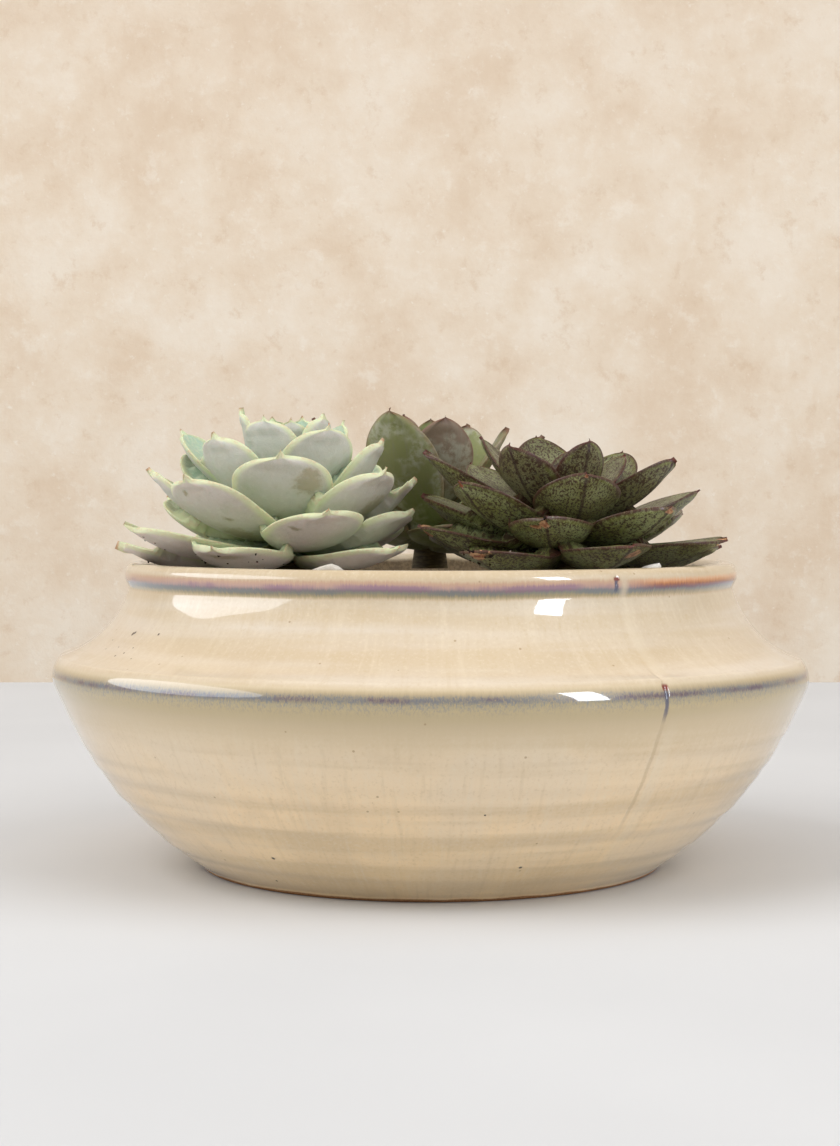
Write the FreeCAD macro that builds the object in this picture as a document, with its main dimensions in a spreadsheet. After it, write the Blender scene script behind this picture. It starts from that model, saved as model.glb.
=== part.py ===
import FreeCAD, Part
import math
import os

import Sketcher
from FreeCAD import Placement, Rotation, Vector

# A round, wheel-thrown glazed bowl planted with three succulent rosettes.
# Millimetres, +Z up.  The origin is the centre of the foot ring's resting plane, and the
# front of the bowl faces -Y.

doc = FreeCAD.newDocument("planted_bowl")
sheet = doc.addObject("Spreadsheet::Sheet", "Sheet")

PLANTS = ("pale", "speckled", "bronze")

# Driving dimensions: alias, value and what it measures.
DIMENSIONS = [
    ("foot_inner_radius", 64.0, "inner edge of the ring the bowl stands on"),
    ("foot_radius", 75.8, "outer edge of the ring the bowl stands on"),
    ("foot_recess_radius", 61.0, "radius of the recess under the floor"),
    ("foot_recess_height", 5.0, "depth of the recess under the floor"),
    ("wall_foot_radius", 77.2, "radius where the wall leaves the foot"),
    ("wall_foot_height", 1.6, "height where the wall leaves the foot"),
    ("wall_round", 118.0, "radius of the slow outward curve of the lower wall"),
    ("shoulder_low_radius", 122.6, "radius below the crest of the shoulder"),
    ("shoulder_low_height", 57.0, "height below the crest of the shoulder"),
    ("shoulder_round", 9.5, "radius of the shoulder's crest"),
    ("shoulder_top_radius", 122.3, "radius above the crest of the shoulder"),
    ("shoulder_top_height", 69.8, "height above the crest of the shoulder"),
    ("neck_round", 33.0, "radius of the hollow neck"),
    ("neck_radius", 100.1, "narrowest outer radius, under the lip"),
    ("neck_height", 92.6, "height of the narrowest place"),
    ("lip_radius", 101.3, "outer radius of the lip's bead"),
    ("lip_low_height", 95.2, "lower end of the lip's bead"),
    ("lip_high_height", 97.6, "upper end of the lip's bead"),
    ("rim_outer_radius", 98.6, "outer radius of the rim's flat"),
    ("rim_inner_radius", 96.8, "inner radius of the rim's flat"),
    ("rim_height", 100.6, "height of the rim"),
    ("rim_inner_low", 97.8, "height where the rim's inner round ends"),
    ("rim_round", 3.2, "radius of the rim's two rounds"),
    ("inner_neck_radius", 94.5, "inside radius at the neck"),
    ("inner_bend_radius", 103.5, "inside radius at the bend under the neck"),
    ("inner_bend_height", 77.5, "height of the bend under the neck"),
    ("inner_wide_radius", 117.5, "widest inside radius"),
    ("inner_wide_height", 62.0, "height of the widest inside radius"),
    ("inner_side_radius", 107.5, "inside radius at half height"),
    ("inner_side_height", 45.0, "half height of the inside"),
    ("drainage_radius", 92.0, "inside radius at the top of the drainage layer"),
    ("drainage_height", 27.0, "height of the top of the drainage layer"),
    ("floor_radius", 76.0, "inside radius of the floor"),
    ("floor_height", 13.0, "height of the floor's upper face"),
    ("drain_radius", 9.5, "radius of the drain hole"),
    ("screen_radius", 16.5, "radius of the mesh over the drain hole"),
    ("screen_thick", 1.0, "thickness of the mesh"),
    ("screen_opening", 2.6, "width of one opening of the mesh"),
    ("screen_pitch", 3.5, "distance between openings of the mesh"),
    ("screen_border", 1.0, "width of the mesh's uncut border"),
    ("wire_radius", 0.9, "radius of the wire that holds the mesh"),
    ("wire_bend", 1.5, "bend radius of the wire"),
    ("wire_leg", 7.0, "distance of each leg of the wire from the axis"),
    ("wire_reach", 17.0, "how far the ends of the wire reach under the floor"),
    ("wire_low_height", 4.1, "height of the wire's ends"),
    ("wire_high_height", 15.0, "height of the wire's bar on the mesh"),
    ("screen_room_radius", 17.5, "radius of the room round the mesh"),
    ("screen_room_height", 16.2, "height of the room over the mesh"),
    ("soil_height", 88.0, "height of the soil's surface"),
    ("gravel_edge_height", 94.8, "height of the gravel at the wall"),
    ("gravel_crown_height", 97.6, "height of the gravel in the middle"),
    ("gravel_crown_radius", 45.0, "radius of the gravel's level middle"),
    ("pocket_radius", 22.0, "radius of each planting pocket"),
    ("pocket_floor_height", 46.0, "height of the planting pockets' floors"),
    ("plug_radius", 21.4, "radius of each root plug"),
    ("plug_low_radius", 17.5, "radius of a root plug's underside"),
    ("plug_shoulder_height", 52.0, "height where a root plug reaches its full radius"),
    ("plug_top_height", 96.6, "height of a root plug's top"),
    ("stem_low_radius", 6.5, "radius of a stem at the plug"),
    ("stem_top_radius", 3.6, "radius of a stem at its tip"),
]

# Each plant: where it stands, how its leaves are laid out, and the shape of one leaf.
# Leaf 0 is the innermost.  "rise" is the angle of a leaf's chord above the level,
# "bend" is how far a leaf curls up from its foot to its tip.
PLANT_WORDS = (
    "x", "y", "stem_tip", "count", "phase", "hand", "root",
    "rise_inner", "rise_outer", "rise_power",
    "length_inner", "length_outer", "length_power",
    "width", "width_inner", "thick", "thick_inner", "full_at",
    "base_top", "base_low", "bend", "bend_inner", "bend_outer",
    "widest", "foot", "swell", "blunt", "point", "cup", "keel",
)
PLANT_VALUES = {
    "pale": (
        -47.0, -14.0, 122.0, 30, 12.5, 1, 3.0,
        82.0, 2.0, 1.38,
        27.0, 53.0, 0.75,
        32.0, 0.42, 4.0, 0.5, 0.4,
        121.0, 102.0, 52.0, 0.4, 0.77,
        0.66, 0.34, 1.3, 2.4, 0.6, 0.19, 0.0,
    ),
    "speckled": (
        43.0, -20.0, 118.0, 27, -60.0, -1, 3.0,
        72.0, 3.0, 1.6,
        24.0, 52.0, 0.42,
        28.0, 0.45, 4.2, 0.5, 0.4,
        117.0, 102.0, 32.0, 0.5, 0.86,
        0.5, 0.4, 1.2, 1.6, 0.9, 0.2, 0.8,
    ),
    "bronze": (
        0.0, 50.0, 119.0, 17, 40.0, 1, 3.0,
        82.0, 30.0, 1.3,
        30.0, 52.0, 0.6,
        28.0, 0.5, 3.6, 0.5, 0.5,
        118.0, 104.0, 40.0, 0.6, 0.8,
        0.62, 0.4, 1.2, 1.8, 0.75, 0.18, 0.3,
    ),
}

# Leaves that keep a habit of their own: turn and lift in degrees, then a length factor.
HABITS = {
    "pale": {
        2: (0, -6, 1.1), 7: (-3, -18, 1.25), 8: (3, 0, 1.0), 10: (3, 0, 1.0), 12: (16, -6, 1.12),
        13: (0, -2, 1.0), 15: (-4, -6, 1.1), 18: (-4, 0, 1.12), 19: (-4, 4, 1.0), 21: (-2, -2, 1.0),
        23: (5, -3, 1.12), 26: (-12, -2, 0.92), 28: (-3, 0, 1.06), 29: (6, -2, 0.95),
    },
    "speckled": {
        0: (0, 0, 0.75), 1: (0, 0, 0.75), 2: (-6, -10, 0.9), 3: (0, -14, 1.05), 4: (0, -8, 0.78),
        5: (-8, -12, 1.0), 7: (2, -15, 1.05),
        8: (0, -12, 1.2), 10: (2, -8, 0.95), 12: (4, -10, 1.0), 13: (0, -4, 1.05), 15: (3, -7, 1.0),
        17: (0, -4, 1.0), 18: (4, -1, 0.9), 20: (0, -6, 1.04), 21: (-3, -3, 1.05), 23: (2, -1, 1.0),
    },
    "bronze": {
        3: (0, -18, 1.05), 5: (4, -4, 1.05), 7: (-6, -10, 1.25), 8: (8, -12, 1.15), 10: (2, 9, 1.15),
        13: (-14, -40, 0.95), 15: (16, -36, 1.0), 16: (-34, -36, 0.95),
    },
}

# Leaf rows of a plant, from the inside out, as shares of its leaves.
LEAF_ROWS = (
    ("heart_leaves", 0.2),
    ("inner_leaves", 0.4),
    ("middle_leaves", 0.6),
    ("outer_leaves", 0.8),
    ("lower_leaves", 1.0),
)

# The rosettes crowd each other but do not cross: between each two stands an upright
# plane that their leaves keep off.  Share of the way from the first to the second, turn
# of the plane in degrees.
CROWDING = {
    ("pale", "speckled"): (0.475, 2.0),
    ("pale", "bronze"): (0.55, 0.0),
    ("speckled", "bronze"): (0.55, 0.0),
}
CROWD_GAP = 0.5

# A leaf rests this far above gravel or rim, and the rim counts from this far inside it.
REST_GAP = 0.6
RIM_MARGIN = 2.5

# How a leaf gives way: steps tried, places looked at along it, then per step its share of
# length and the degrees it stands up at a neighbour, and the degrees it rises and the
# share of curl it keeps over gravel or rim.
SETTLE_STEPS = 80
SETTLE_PLACES = 12
CROWD_SHORTEN = 0.985
CROWD_STAND_UP = 0.8
REST_RISE = 0.4
REST_FLATTEN = 0.97

# Two leaves that share more than this, in cubic millimetres, press on each other.
PRESS_VOLUME = 0.02

# Turn from one leaf to the next, and the power at which young leaves gain width.
GOLDEN_ANGLE = 137.5
WIDTH_GROWTH = 0.8

# Share of a rosette's leaves that are younger than its most curled ones.
MIDDLE_AGE = 0.5

# One leaf's section: shares of its thickness above and below its middle line, share of
# the thickness at its foot, where it is fully thick and how it thins out to the tip.
HOLLOW_SHARE = 0.4
BELLY_SHARE = 0.6
FOOT_FULLNESS = 0.75
FULL_PLACE = 0.5
THINNING = 2.2

# The raised edges start at this share of their height and are full at this place.
EDGE_START = 0.25
EDGE_FULL_PLACE = 0.4

# Places along a leaf where its sections stand; the last one is the small blunt tip.
LEAF_STATIONS = (0.0, 0.16, 0.36, 0.56, 0.74, 0.88, 0.96, 0.995)


def fill_sheet():
    """Write every driving dimension to the sheet and return them by alias."""
    rows = [(alias, value) for alias, value, _ in DIMENSIONS]
    for plant in PLANTS:
        rows += [(plant + "_" + word, value) for word, value in zip(PLANT_WORDS, PLANT_VALUES[plant])]
    for number, (alias, value) in enumerate(rows, start=1):
        sheet.set("A%d" % number, alias.replace("_", " "))
        sheet.set("B%d" % number, str(value))
        sheet.setAlias("B%d" % number, alias)
    doc.recompute()
    return {alias: float(getattr(sheet, alias)) for alias, _ in rows}


size = fill_sheet()


# ---------------------------------------------------------------- sketching helpers

def origin_plane(body, role):
    return next(item for item in body.Origin.OriginFeatures if item.Role == role)


def new_body(name):
    body = doc.addObject("PartDesign::Body", name)
    body.Label = name
    return body


def new_sketch(body, name, role, offset=None):
    sketch = body.newObject("Sketcher::SketchObject", name)
    sketch.AttachmentSupport = [(origin_plane(body, role), "")]
    sketch.MapMode = "FlatFace"
    if offset is not None:
        sketch.AttachmentOffset = offset
    return sketch


def bind(sketch, kind, elements, alias):
    """Add one dimension to a sketch and tie it to the sheet."""
    index = sketch.addConstraint(Sketcher.Constraint(kind, *elements, size[alias]))
    sketch.setExpression("Constraints[%d]" % index, "Sheet." + alias)


def pin(sketch, curve, end, across, up):
    """Hold a point at (across, up), given as aliases; None is a place on the axis."""
    if across is None:
        sketch.addConstraint(Sketcher.Constraint("PointOnObject", curve, end, -2))
    else:
        bind(sketch, "DistanceX", (-1, 1, curve, end), across)
    if up is None:
        sketch.addConstraint(Sketcher.Constraint("PointOnObject", curve, end, -1))
    else:
        bind(sketch, "DistanceY", (-1, 1, curve, end), up)


def arc_between(start, end, radius, side):
    """The arc of a radius from start to end; side 1 bulges to the left of the way."""
    chord = end - start
    half = chord.Length / 2
    rise = radius - math.sqrt(radius * radius - half * half)
    left = Vector(-chord.y, chord.x, 0).normalize()
    return Part.Arc(start, (start + end) / 2 + left * rise * side, end)


def closed_outline(sketch, corners, rounds=None):
    """Draw a closed outline through corners of (across, up) aliases.

    rounds gives the arcs: number of the side -> (radius alias, side of the bulge)."""
    rounds = rounds or {}
    points = [Vector(size.get(across, 0.0), size.get(up, 0.0), 0) for across, up in corners]
    count = len(points)
    for number, start in enumerate(points):
        end = points[(number + 1) % count]
        if number in rounds:
            alias, side = rounds[number]
            sketch.addGeometry(arc_between(start, end, size[alias], side))
        else:
            sketch.addGeometry(Part.LineSegment(start, end))
    # An arc is stored counter-clockwise, so one that bulges left starts at its far end.
    first = [2 if number in rounds and rounds[number][1] > 0 else 1 for number in range(count)]
    for number in range(count):
        after = (number + 1) % count
        link = (number, 3 - first[number], after, first[after])
        sketch.addConstraint(Sketcher.Constraint("Coincident", *link))
    for number, (across, up) in enumerate(corners):
        pin(sketch, number, first[number], across, up)
    for number, (alias, _) in rounds.items():
        bind(sketch, "Radius", (number,), alias)
    return sketch


def revolve(body, sketch):
    turned = body.newObject("PartDesign::Revolution", body.Name + "_turned")
    turned.Profile = sketch
    turned.ReferenceAxis = (sketch, ["V_Axis"])
    turned.Angle = 360
    return turned


def turned_body(name, corners, rounds=None):
    """A body turned about its own upright axis from one outline."""
    body = new_body(name)
    sketch = closed_outline(new_sketch(body, name + "_outline", "XZ_Plane"), corners, rounds)
    revolve(body, sketch)
    return body


def stand_at(thing, plant):
    """Put a piece on its plant's upright axis."""
    thing.setExpression("Placement.Base.x", "Sheet.%s_x" % plant)
    thing.setExpression("Placement.Base.y", "Sheet.%s_y" % plant)


def through_pockets(body, name, up=None):
    """Cut the three round planting pockets, from above the body down to the height up."""
    sketch = new_sketch(body, name, "XY_Plane")
    if up is not None:
        sketch.setExpression("AttachmentOffset.Base.z", "Sheet." + up)
    for number, plant in enumerate(PLANTS):
        middle = Vector(size[plant + "_x"], size[plant + "_y"], 0)
        sketch.addGeometry(Part.Circle(middle, Vector(0, 0, 1), size["pocket_radius"]))
        bind(sketch, "DistanceX", (-1, 1, number, 3), plant + "_x")
        bind(sketch, "DistanceY", (-1, 1, number, 3), plant + "_y")
        bind(sketch, "Radius", (number,), "pocket_radius")
    pocket = body.newObject("PartDesign::Pocket", name + "_cut")
    pocket.Profile = sketch
    pocket.Type = "ThroughAll"
    pocket.Reversed = True
    return pocket


# ---------------------------------------------------------------- the bowl

def make_pot_body():
    """The thrown bowl: foot ring, swelling wall, sharp shoulder, hollow neck and lip."""
    corners = [
        ("foot_inner_radius", None),
        ("foot_radius", None),
        ("wall_foot_radius", "wall_foot_height"),
        ("shoulder_low_radius", "shoulder_low_height"),
        ("shoulder_top_radius", "shoulder_top_height"),
        ("neck_radius", "neck_height"),
        ("lip_radius", "lip_low_height"),
        ("lip_radius", "lip_high_height"),
        ("rim_outer_radius", "rim_height"),
        ("rim_inner_radius", "rim_height"),
        ("inner_neck_radius", "rim_inner_low"),
        ("inner_neck_radius", "soil_height"),
        ("inner_bend_radius", "inner_bend_height"),
        ("inner_wide_radius", "inner_wide_height"),
        ("inner_side_radius", "inner_side_height"),
        ("drainage_radius", "drainage_height"),
        ("floor_radius", "floor_height"),
        ("drain_radius", "floor_height"),
        ("drain_radius", "foot_recess_height"),
        ("foot_recess_radius", "foot_recess_height"),
    ]
    rounds = {
        2: ("wall_round", -1),
        3: ("shoulder_round", -1),
        4: ("neck_round", 1),
        7: ("rim_round", -1),
        9: ("rim_round", -1),
    }
    return turned_body("pot_body", corners, rounds)


def make_drainage_layer():
    """Coarse grit on the floor, hollow over the mesh and its wire."""
    return turned_body("drainage_layer", [
        ("screen_room_radius", "floor_height"),
        ("floor_radius", "floor_height"),
        ("drainage_radius", "drainage_height"),
        (None, "drainage_height"),
        (None, "screen_room_height"),
        ("screen_room_radius", "screen_room_height"),
    ])


def make_soil_bed():
    """The soil fills the bowl's belly and leaves a pocket for each root plug."""
    body = turned_body("soil_bed", [
        (None, "drainage_height"),
        ("drainage_radius", "drainage_height"),
        ("inner_side_radius", "inner_side_height"),
        ("inner_wide_radius", "inner_wide_height"),
        ("inner_bend_radius", "inner_bend_height"),
        ("inner_neck_radius", "soil_height"),
        (None, "soil_height"),
    ])
    through_pockets(body, "soil_pockets", "pocket_floor_height")
    return body


def make_gravel_dressing():
    """White gravel over the soil, heaped in the middle, open round each plant."""
    body = turned_body("gravel_dressing", [
        (None, "soil_height"),
        ("inner_neck_radius", "soil_height"),
        ("inner_neck_radius", "gravel_edge_height"),
        ("gravel_crown_radius", "gravel_crown_height"),
        (None, "gravel_crown_height"),
    ])
    through_pockets(body, "gravel_openings")
    return body


def make_drain_screen():
    """A round piece of plastic mesh over the drain hole."""
    body = new_body("drain_screen")
    lift = Placement(Vector(0, 0, size["floor_height"]), Rotation())
    disc = new_sketch(body, "screen_disc", "XY_Plane", lift)
    disc.setExpression("AttachmentOffset.Base.z", "Sheet.floor_height")
    disc.addGeometry(Part.Circle(Vector(), Vector(0, 0, 1), size["screen_radius"]))
    disc.addConstraint(Sketcher.Constraint("Coincident", 0, 3, -1, 1))
    bind(disc, "Radius", (0,), "screen_radius")
    plate = body.newObject("PartDesign::Pad", "screen_plate")
    plate.Profile = disc
    plate.setExpression("Length", "Sheet.screen_thick")

    openings = new_sketch(body, "screen_openings", "XY_Plane")
    pitch = size["screen_pitch"]
    half = size["screen_opening"] / 2
    reach = size["screen_radius"] - size["screen_border"]
    steps = int(reach // pitch)
    for column in range(-steps, steps + 1):
        for row in range(-steps, steps + 1):
            x, y = column * pitch, row * pitch
            if math.hypot(abs(x) + half, abs(y) + half) > reach:
                continue
            square = [Vector(x + dx * half, y + dy * half, 0) for dx, dy in ((-1, -1), (1, -1), (1, 1), (-1, 1))]
            for start, end in zip(square, square[1:] + square[:1]):
                openings.addGeometry(Part.LineSegment(start, end))
    cut = body.newObject("PartDesign::Pocket", "screen_cut")
    cut.Profile = openings
    cut.Type = "ThroughAll"
    cut.Midplane = True
    return body


def make_screen_wire():
    """A wire staple: its bar lies on the mesh, its ends are bent out under the floor."""
    leg, reach, bend = size["wire_leg"], size["wire_reach"], size["wire_bend"]
    low, high = size["wire_low_height"], size["wire_high_height"]
    half_turn = math.sqrt(0.5)
    inset = bend * (1 - half_turn)

    def corner(x, z, toward_x, toward_z):
        """Arc round a corner of the wire, from the level run to the leg."""
        level_end = Vector(x + toward_x * bend, 0, z)
        leg_end = Vector(x, 0, z + toward_z * bend)
        middle = Vector(x + toward_x * inset, 0, z + toward_z * inset)
        return Part.Arc(level_end, middle, leg_end)

    def straight(x_start, z_start, x_end, z_end):
        return Part.LineSegment(Vector(x_start, 0, z_start), Vector(x_end, 0, z_end))

    runs = [
        straight(-reach, low, -leg - bend, low),
        corner(-leg, low, -1, 1),
        straight(-leg, low + bend, -leg, high - bend),
        corner(-leg, high, 1, -1),
        straight(-leg + bend, high, leg - bend, high),
        corner(leg, high, -1, -1),
        straight(leg, high - bend, leg, low + bend),
        corner(leg, low, 1, 1),
        straight(leg + bend, low, reach, low),
    ]
    path = Part.Wire([run.toShape() for run in runs])
    ring = Part.Wire(Part.makeCircle(size["wire_radius"], Vector(-reach, 0, low), Vector(1, 0, 0)))
    wire = doc.addObject("Part::Feature", "screen_wire")
    wire.Label = "screen_wire"
    wire.Shape = path.makePipeShell([ring], True, False)
    return wire


# ---------------------------------------------------------------- the plants

def make_root_plug(plant):
    body = turned_body(plant + "_root_plug", [
        (None, "pocket_floor_height"),
        ("plug_low_radius", "pocket_floor_height"),
        ("plug_radius", "plug_shoulder_height"),
        ("plug_radius", "plug_top_height"),
        (None, "plug_top_height"),
    ])
    stand_at(body, plant)
    return body


def make_stem(plant):
    body = turned_body(plant + "_stem", [
        (None, "plug_top_height"),
        ("stem_low_radius", "plug_top_height"),
        ("stem_top_radius", plant + "_stem_tip"),
        (None, plant + "_stem_tip"),
    ])
    stand_at(body, plant)
    return body


def mix(low, high, share):
    return low + (high - low) * share


def leaf_curl(trait, age):
    """Share of the full curl: it grows to the middle leaves and eases off in the old ones."""
    if age < MIDDLE_AGE:
        return mix(trait["bend_inner"], 1.0, age / MIDDLE_AGE)
    return mix(1.0, trait["bend_outer"], (age - MIDDLE_AGE) / (1 - MIDDLE_AGE))


def leaf_habit(plant, index):
    """Place, posture and size of one leaf; index 0 is the innermost."""
    trait = {word: size[plant + "_" + word] for word in PLANT_WORDS}
    age = index / (trait["count"] - 1)
    grown = min(1.0, age / trait["full_at"])
    turn, lift, stretch = HABITS[plant].get(index, (0.0, 0.0, 1.0))
    steepness = (1 - age) ** trait["rise_power"]
    trait.update(
        azimuth=trait["phase"] + trait["hand"] * GOLDEN_ANGLE * index + turn,
        rise=mix(trait["rise_outer"], trait["rise_inner"], steepness) + lift,
        length=mix(trait["length_inner"], trait["length_outer"], age ** trait["length_power"]) * stretch,
        width=trait["width"] * mix(trait["width_inner"], 1.0, grown ** WIDTH_GROWTH),
        thick=trait["thick"] * mix(trait["thick_inner"], 1.0, grown),
        base=mix(trait["base_top"], trait["base_low"], age),
        bend=trait["bend"] * leaf_curl(trait, age),
    )
    return trait


def half_width(leaf, along):
    """Share of the leaf's half width at a place along it, 0 at its foot and 1 at its tip."""
    if along < leaf["widest"]:
        swelling = math.sin(math.pi / 2 * along / leaf["widest"]) ** leaf["swell"]
        return mix(leaf["foot"], 1.0, swelling)
    beyond = (along - leaf["widest"]) / (1 - leaf["widest"])
    return max(0.0, 1 - beyond ** leaf["blunt"]) ** leaf["point"]


def leaf_section(leaf, along):
    """Edges, hollow and belly of the section at a place along the leaf, as points."""
    bend = math.radians(leaf["bend"])
    start = math.radians(leaf["rise"]) - bend / 2
    slope = start + bend * along
    radius = leaf["length"] / (2 * math.sin(bend / 2))
    out = leaf["root"] + radius * (math.sin(slope) - math.sin(start))
    up = leaf["base"] - radius * (math.cos(slope) - math.cos(start))
    turn = math.radians(leaf["azimuth"])

    def point(across, above):
        away = out - above * math.sin(slope)
        return Vector(
            leaf["x"] + away * math.sin(turn) + across * math.cos(turn),
            leaf["y"] - away * math.cos(turn) + across * math.sin(turn),
            up + above * math.cos(slope),
        )

    half = leaf["width"] / 2 * half_width(leaf, along)
    fullness = mix(FOOT_FULLNESS, 1.0, min(1.0, along / FULL_PLACE))
    thinning = max(0.0, along - FULL_PLACE) / (1 - FULL_PLACE)
    thick = leaf["thick"] * fullness * (1 - thinning ** THINNING)
    edge = leaf["cup"] * half * min(1.0, EDGE_START + along / EDGE_FULL_PLACE)
    hollow = HOLLOW_SHARE * thick
    belly = -BELLY_SHARE * thick
    bow = mix(belly, (edge + belly) / 2, leaf["keel"])
    return {
        "left": point(-half, edge),
        "right": point(half, edge),
        "belly": point(0, belly),
        "left_bow": point(-half / 2, bow),
        "right_bow": point(half / 2, bow),
        "hollow_pull": point(0, 2 * hollow - edge),
    }


def curve(*poles):
    bezier = Part.BezierCurve()
    bezier.setPoles(list(poles))
    return bezier.toShape()


def leaf_wire(leaf, along):
    """Three curved edges: the belly's two halves and the hollow upper side."""
    at = leaf_section(leaf, along)
    return Part.Wire([
        curve(at["left"], at["left_bow"], at["belly"]),
        curve(at["belly"], at["right_bow"], at["right"]),
        curve(at["right"], at["hollow_pull"], at["left"]),
    ])


def crowd_planes(plant):
    """Upright planes that this plant's leaves keep off, as (normal, distance)."""
    planes = []
    for (first, second), (share, turn) in CROWDING.items():
        if plant not in (first, second):
            continue
        near = Vector(size[first + "_x"], size[first + "_y"], 0)
        far = Vector(size[second + "_x"], size[second + "_y"], 0)
        normal = Rotation(Vector(0, 0, 1), turn).multVec((far - near).normalize())
        place = near + (far - near) * share
        facing = normal if plant == first else -normal
        planes.append((facing, facing.dot(place) - CROWD_GAP))
    return planes


def leaf_points(leaf):
    places = [leaf_section(leaf, step / SETTLE_PLACES) for step in range(SETTLE_PLACES + 1)]
    return [place[name] for place in places for name in ("left", "right", "belly")]


def leaf_reach(leaf, planes):
    """How far the leaf reaches past the nearest plane; negative is clear of it."""
    return max(normal.dot(spot) - distance for normal, distance in planes for spot in leaf_points(leaf))


def ground_height(spot):
    """Height that a leaf keeps above: the gravel inside the bowl, the rim over its wall."""
    out = math.hypot(spot.x, spot.y)
    if out > size["inner_neck_radius"] - RIM_MARGIN:
        return size["rim_height"] + REST_GAP
    slope = (out - size["gravel_crown_radius"]) / (size["inner_neck_radius"] - size["gravel_crown_radius"])
    return mix(size["gravel_crown_height"], size["gravel_edge_height"], max(0.0, slope)) + REST_GAP


def leaf_sink(leaf):
    return max(ground_height(spot) - spot.z for spot in leaf_points(leaf))


def settle(leaf, planes):
    """A leaf is held up by what it would otherwise cross.

    One that would reach over a neighbour stays shorter and stands up more; one that
    would sink into the gravel or the rim lies higher and flatter."""
    for _ in range(SETTLE_STEPS):
        if leaf_reach(leaf, planes) <= 0:
            break
        leaf["length"] *= CROWD_SHORTEN
        leaf["rise"] += CROWD_STAND_UP
    for _ in range(SETTLE_STEPS):
        if leaf_sink(leaf) <= 0:
            break
        leaf["rise"] += REST_RISE
        leaf["bend"] *= REST_FLATTEN
    return leaf


def make_leaf(leaf, stem, older_sisters):
    """A leaf through its sections, ending in a small blunt tip.

    Its foot is set against the stem, and it gives way where it presses on a leaf above."""
    blade = Part.makeLoft([leaf_wire(leaf, along) for along in LEAF_STATIONS], True)
    blade = max(blade.cut(stem).Solids, key=lambda piece: piece.Volume)
    for sister in older_sisters:
        if not blade.BoundBox.intersect(sister.BoundBox):
            continue
        if blade.common(sister).Volume > PRESS_VOLUME:
            blade = max(blade.cut(sister).Solids, key=lambda piece: piece.Volume)
    return blade


def make_leaf_rows(plant, stem_shape):
    """The rows of leaves of one rosette, each row one group of separate leaves."""
    count = int(size[plant + "_count"])
    planes = crowd_planes(plant)
    leaves = []
    for index in range(count):
        leaves.append(make_leaf(settle(leaf_habit(plant, index), planes), stem_shape, leaves))
    rows = []
    first = 0
    for row, share in LEAF_ROWS:
        last = round(count * share)
        feature = doc.addObject("Part::Feature", plant + "_" + row)
        feature.Label = plant + "_" + row
        feature.Shape = Part.makeCompound(leaves[first:last])
        rows.append(feature)
        first = last
    return rows


# ---------------------------------------------------------------- the assembly

def build():
    pieces = [
        make_pot_body(),
        make_drain_screen(),
        make_screen_wire(),
        make_drainage_layer(),
        make_soil_bed(),
        make_gravel_dressing(),
    ]
    for plant in PLANTS:
        stem = make_stem(plant)
        pieces += [make_root_plug(plant), stem]
        doc.recompute()
        pieces += make_leaf_rows(plant, stem.Shape)
    doc.recompute()
    return pieces


def check(pieces):
    """Stop before anything is written if an object failed or a shape is bad."""
    failed = [item.Label for item in doc.Objects if "Invalid" in item.State or "Error" in item.State]
    failed += [piece.Label for piece in pieces if piece.Shape.isNull() or not piece.Shape.isValid()]
    if failed:
        raise RuntimeError("failed: " + ", ".join(failed))


def export(pieces):
    os.makedirs("parts", exist_ok=True)
    for piece in pieces:
        piece.Shape.exportStep("parts/%s.step" % piece.Label)
        print("%-24s %2d solids %10.1f mm3" % (piece.Label, len(piece.Shape.Solids), piece.Shape.Volume))


all_pieces = build()
check(all_pieces)
export(all_pieces)
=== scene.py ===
import math

import bmesh
import bpy
import numpy as np
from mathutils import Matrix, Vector
from mathutils.bvhtree import BVHTree
from mathutils.kdtree import KDTree


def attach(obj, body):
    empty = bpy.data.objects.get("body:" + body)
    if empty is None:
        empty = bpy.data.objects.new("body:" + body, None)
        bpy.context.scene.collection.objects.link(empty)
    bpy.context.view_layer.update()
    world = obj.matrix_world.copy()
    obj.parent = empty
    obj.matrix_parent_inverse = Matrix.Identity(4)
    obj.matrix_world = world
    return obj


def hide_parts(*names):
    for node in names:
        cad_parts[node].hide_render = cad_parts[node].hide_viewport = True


# The looks of a glazed bowl planted with three succulent rosettes.  Lengths are
# millimetres until they reach Blender.  Azimuth 0 is the front, -Y, and grows to the right.

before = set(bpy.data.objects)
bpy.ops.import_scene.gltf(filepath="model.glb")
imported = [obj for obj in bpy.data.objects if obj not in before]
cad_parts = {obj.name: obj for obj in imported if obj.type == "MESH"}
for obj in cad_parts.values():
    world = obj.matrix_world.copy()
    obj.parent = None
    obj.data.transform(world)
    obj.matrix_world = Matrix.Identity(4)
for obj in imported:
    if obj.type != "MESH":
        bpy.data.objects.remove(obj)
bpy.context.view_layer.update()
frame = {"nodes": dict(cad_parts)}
MM = 0.001

PLANTS = ("pale", "speckled", "bronze")
LEAF_ROWS = (
    ("heart_leaves", 0.2),
    ("inner_leaves", 0.4),
    ("middle_leaves", 0.6),
    ("outer_leaves", 0.8),
    ("lower_leaves", 1.0),
)

# ---------------------------------------------------------------- helpers


def mix(low, high, share):
    return low + (high - low) * share


def smooth(value, low, high):
    """0 below low, 1 above high, an S between; low above high turns it round."""
    share = np.clip((value - low) / (high - low), 0.0, 1.0)
    return share * share * (3 - 2 * share)


def add_mesh(name, points, faces):
    """A smooth-shaded object from points in millimetres."""
    mesh = bpy.data.meshes.new(name)
    mesh.from_pydata((np.asarray(points) * MM).tolist(), [], faces)
    mesh.shade_smooth()
    thing = bpy.data.objects.new(name, mesh)
    bpy.context.scene.collection.objects.link(thing)
    return thing


def add_values(thing, name, values):
    """One number per vertex, for the material to read."""
    stored = thing.data.attributes.new(name, "FLOAT", "POINT")
    stored.data.foreach_set("value", np.asarray(values, float))


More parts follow.
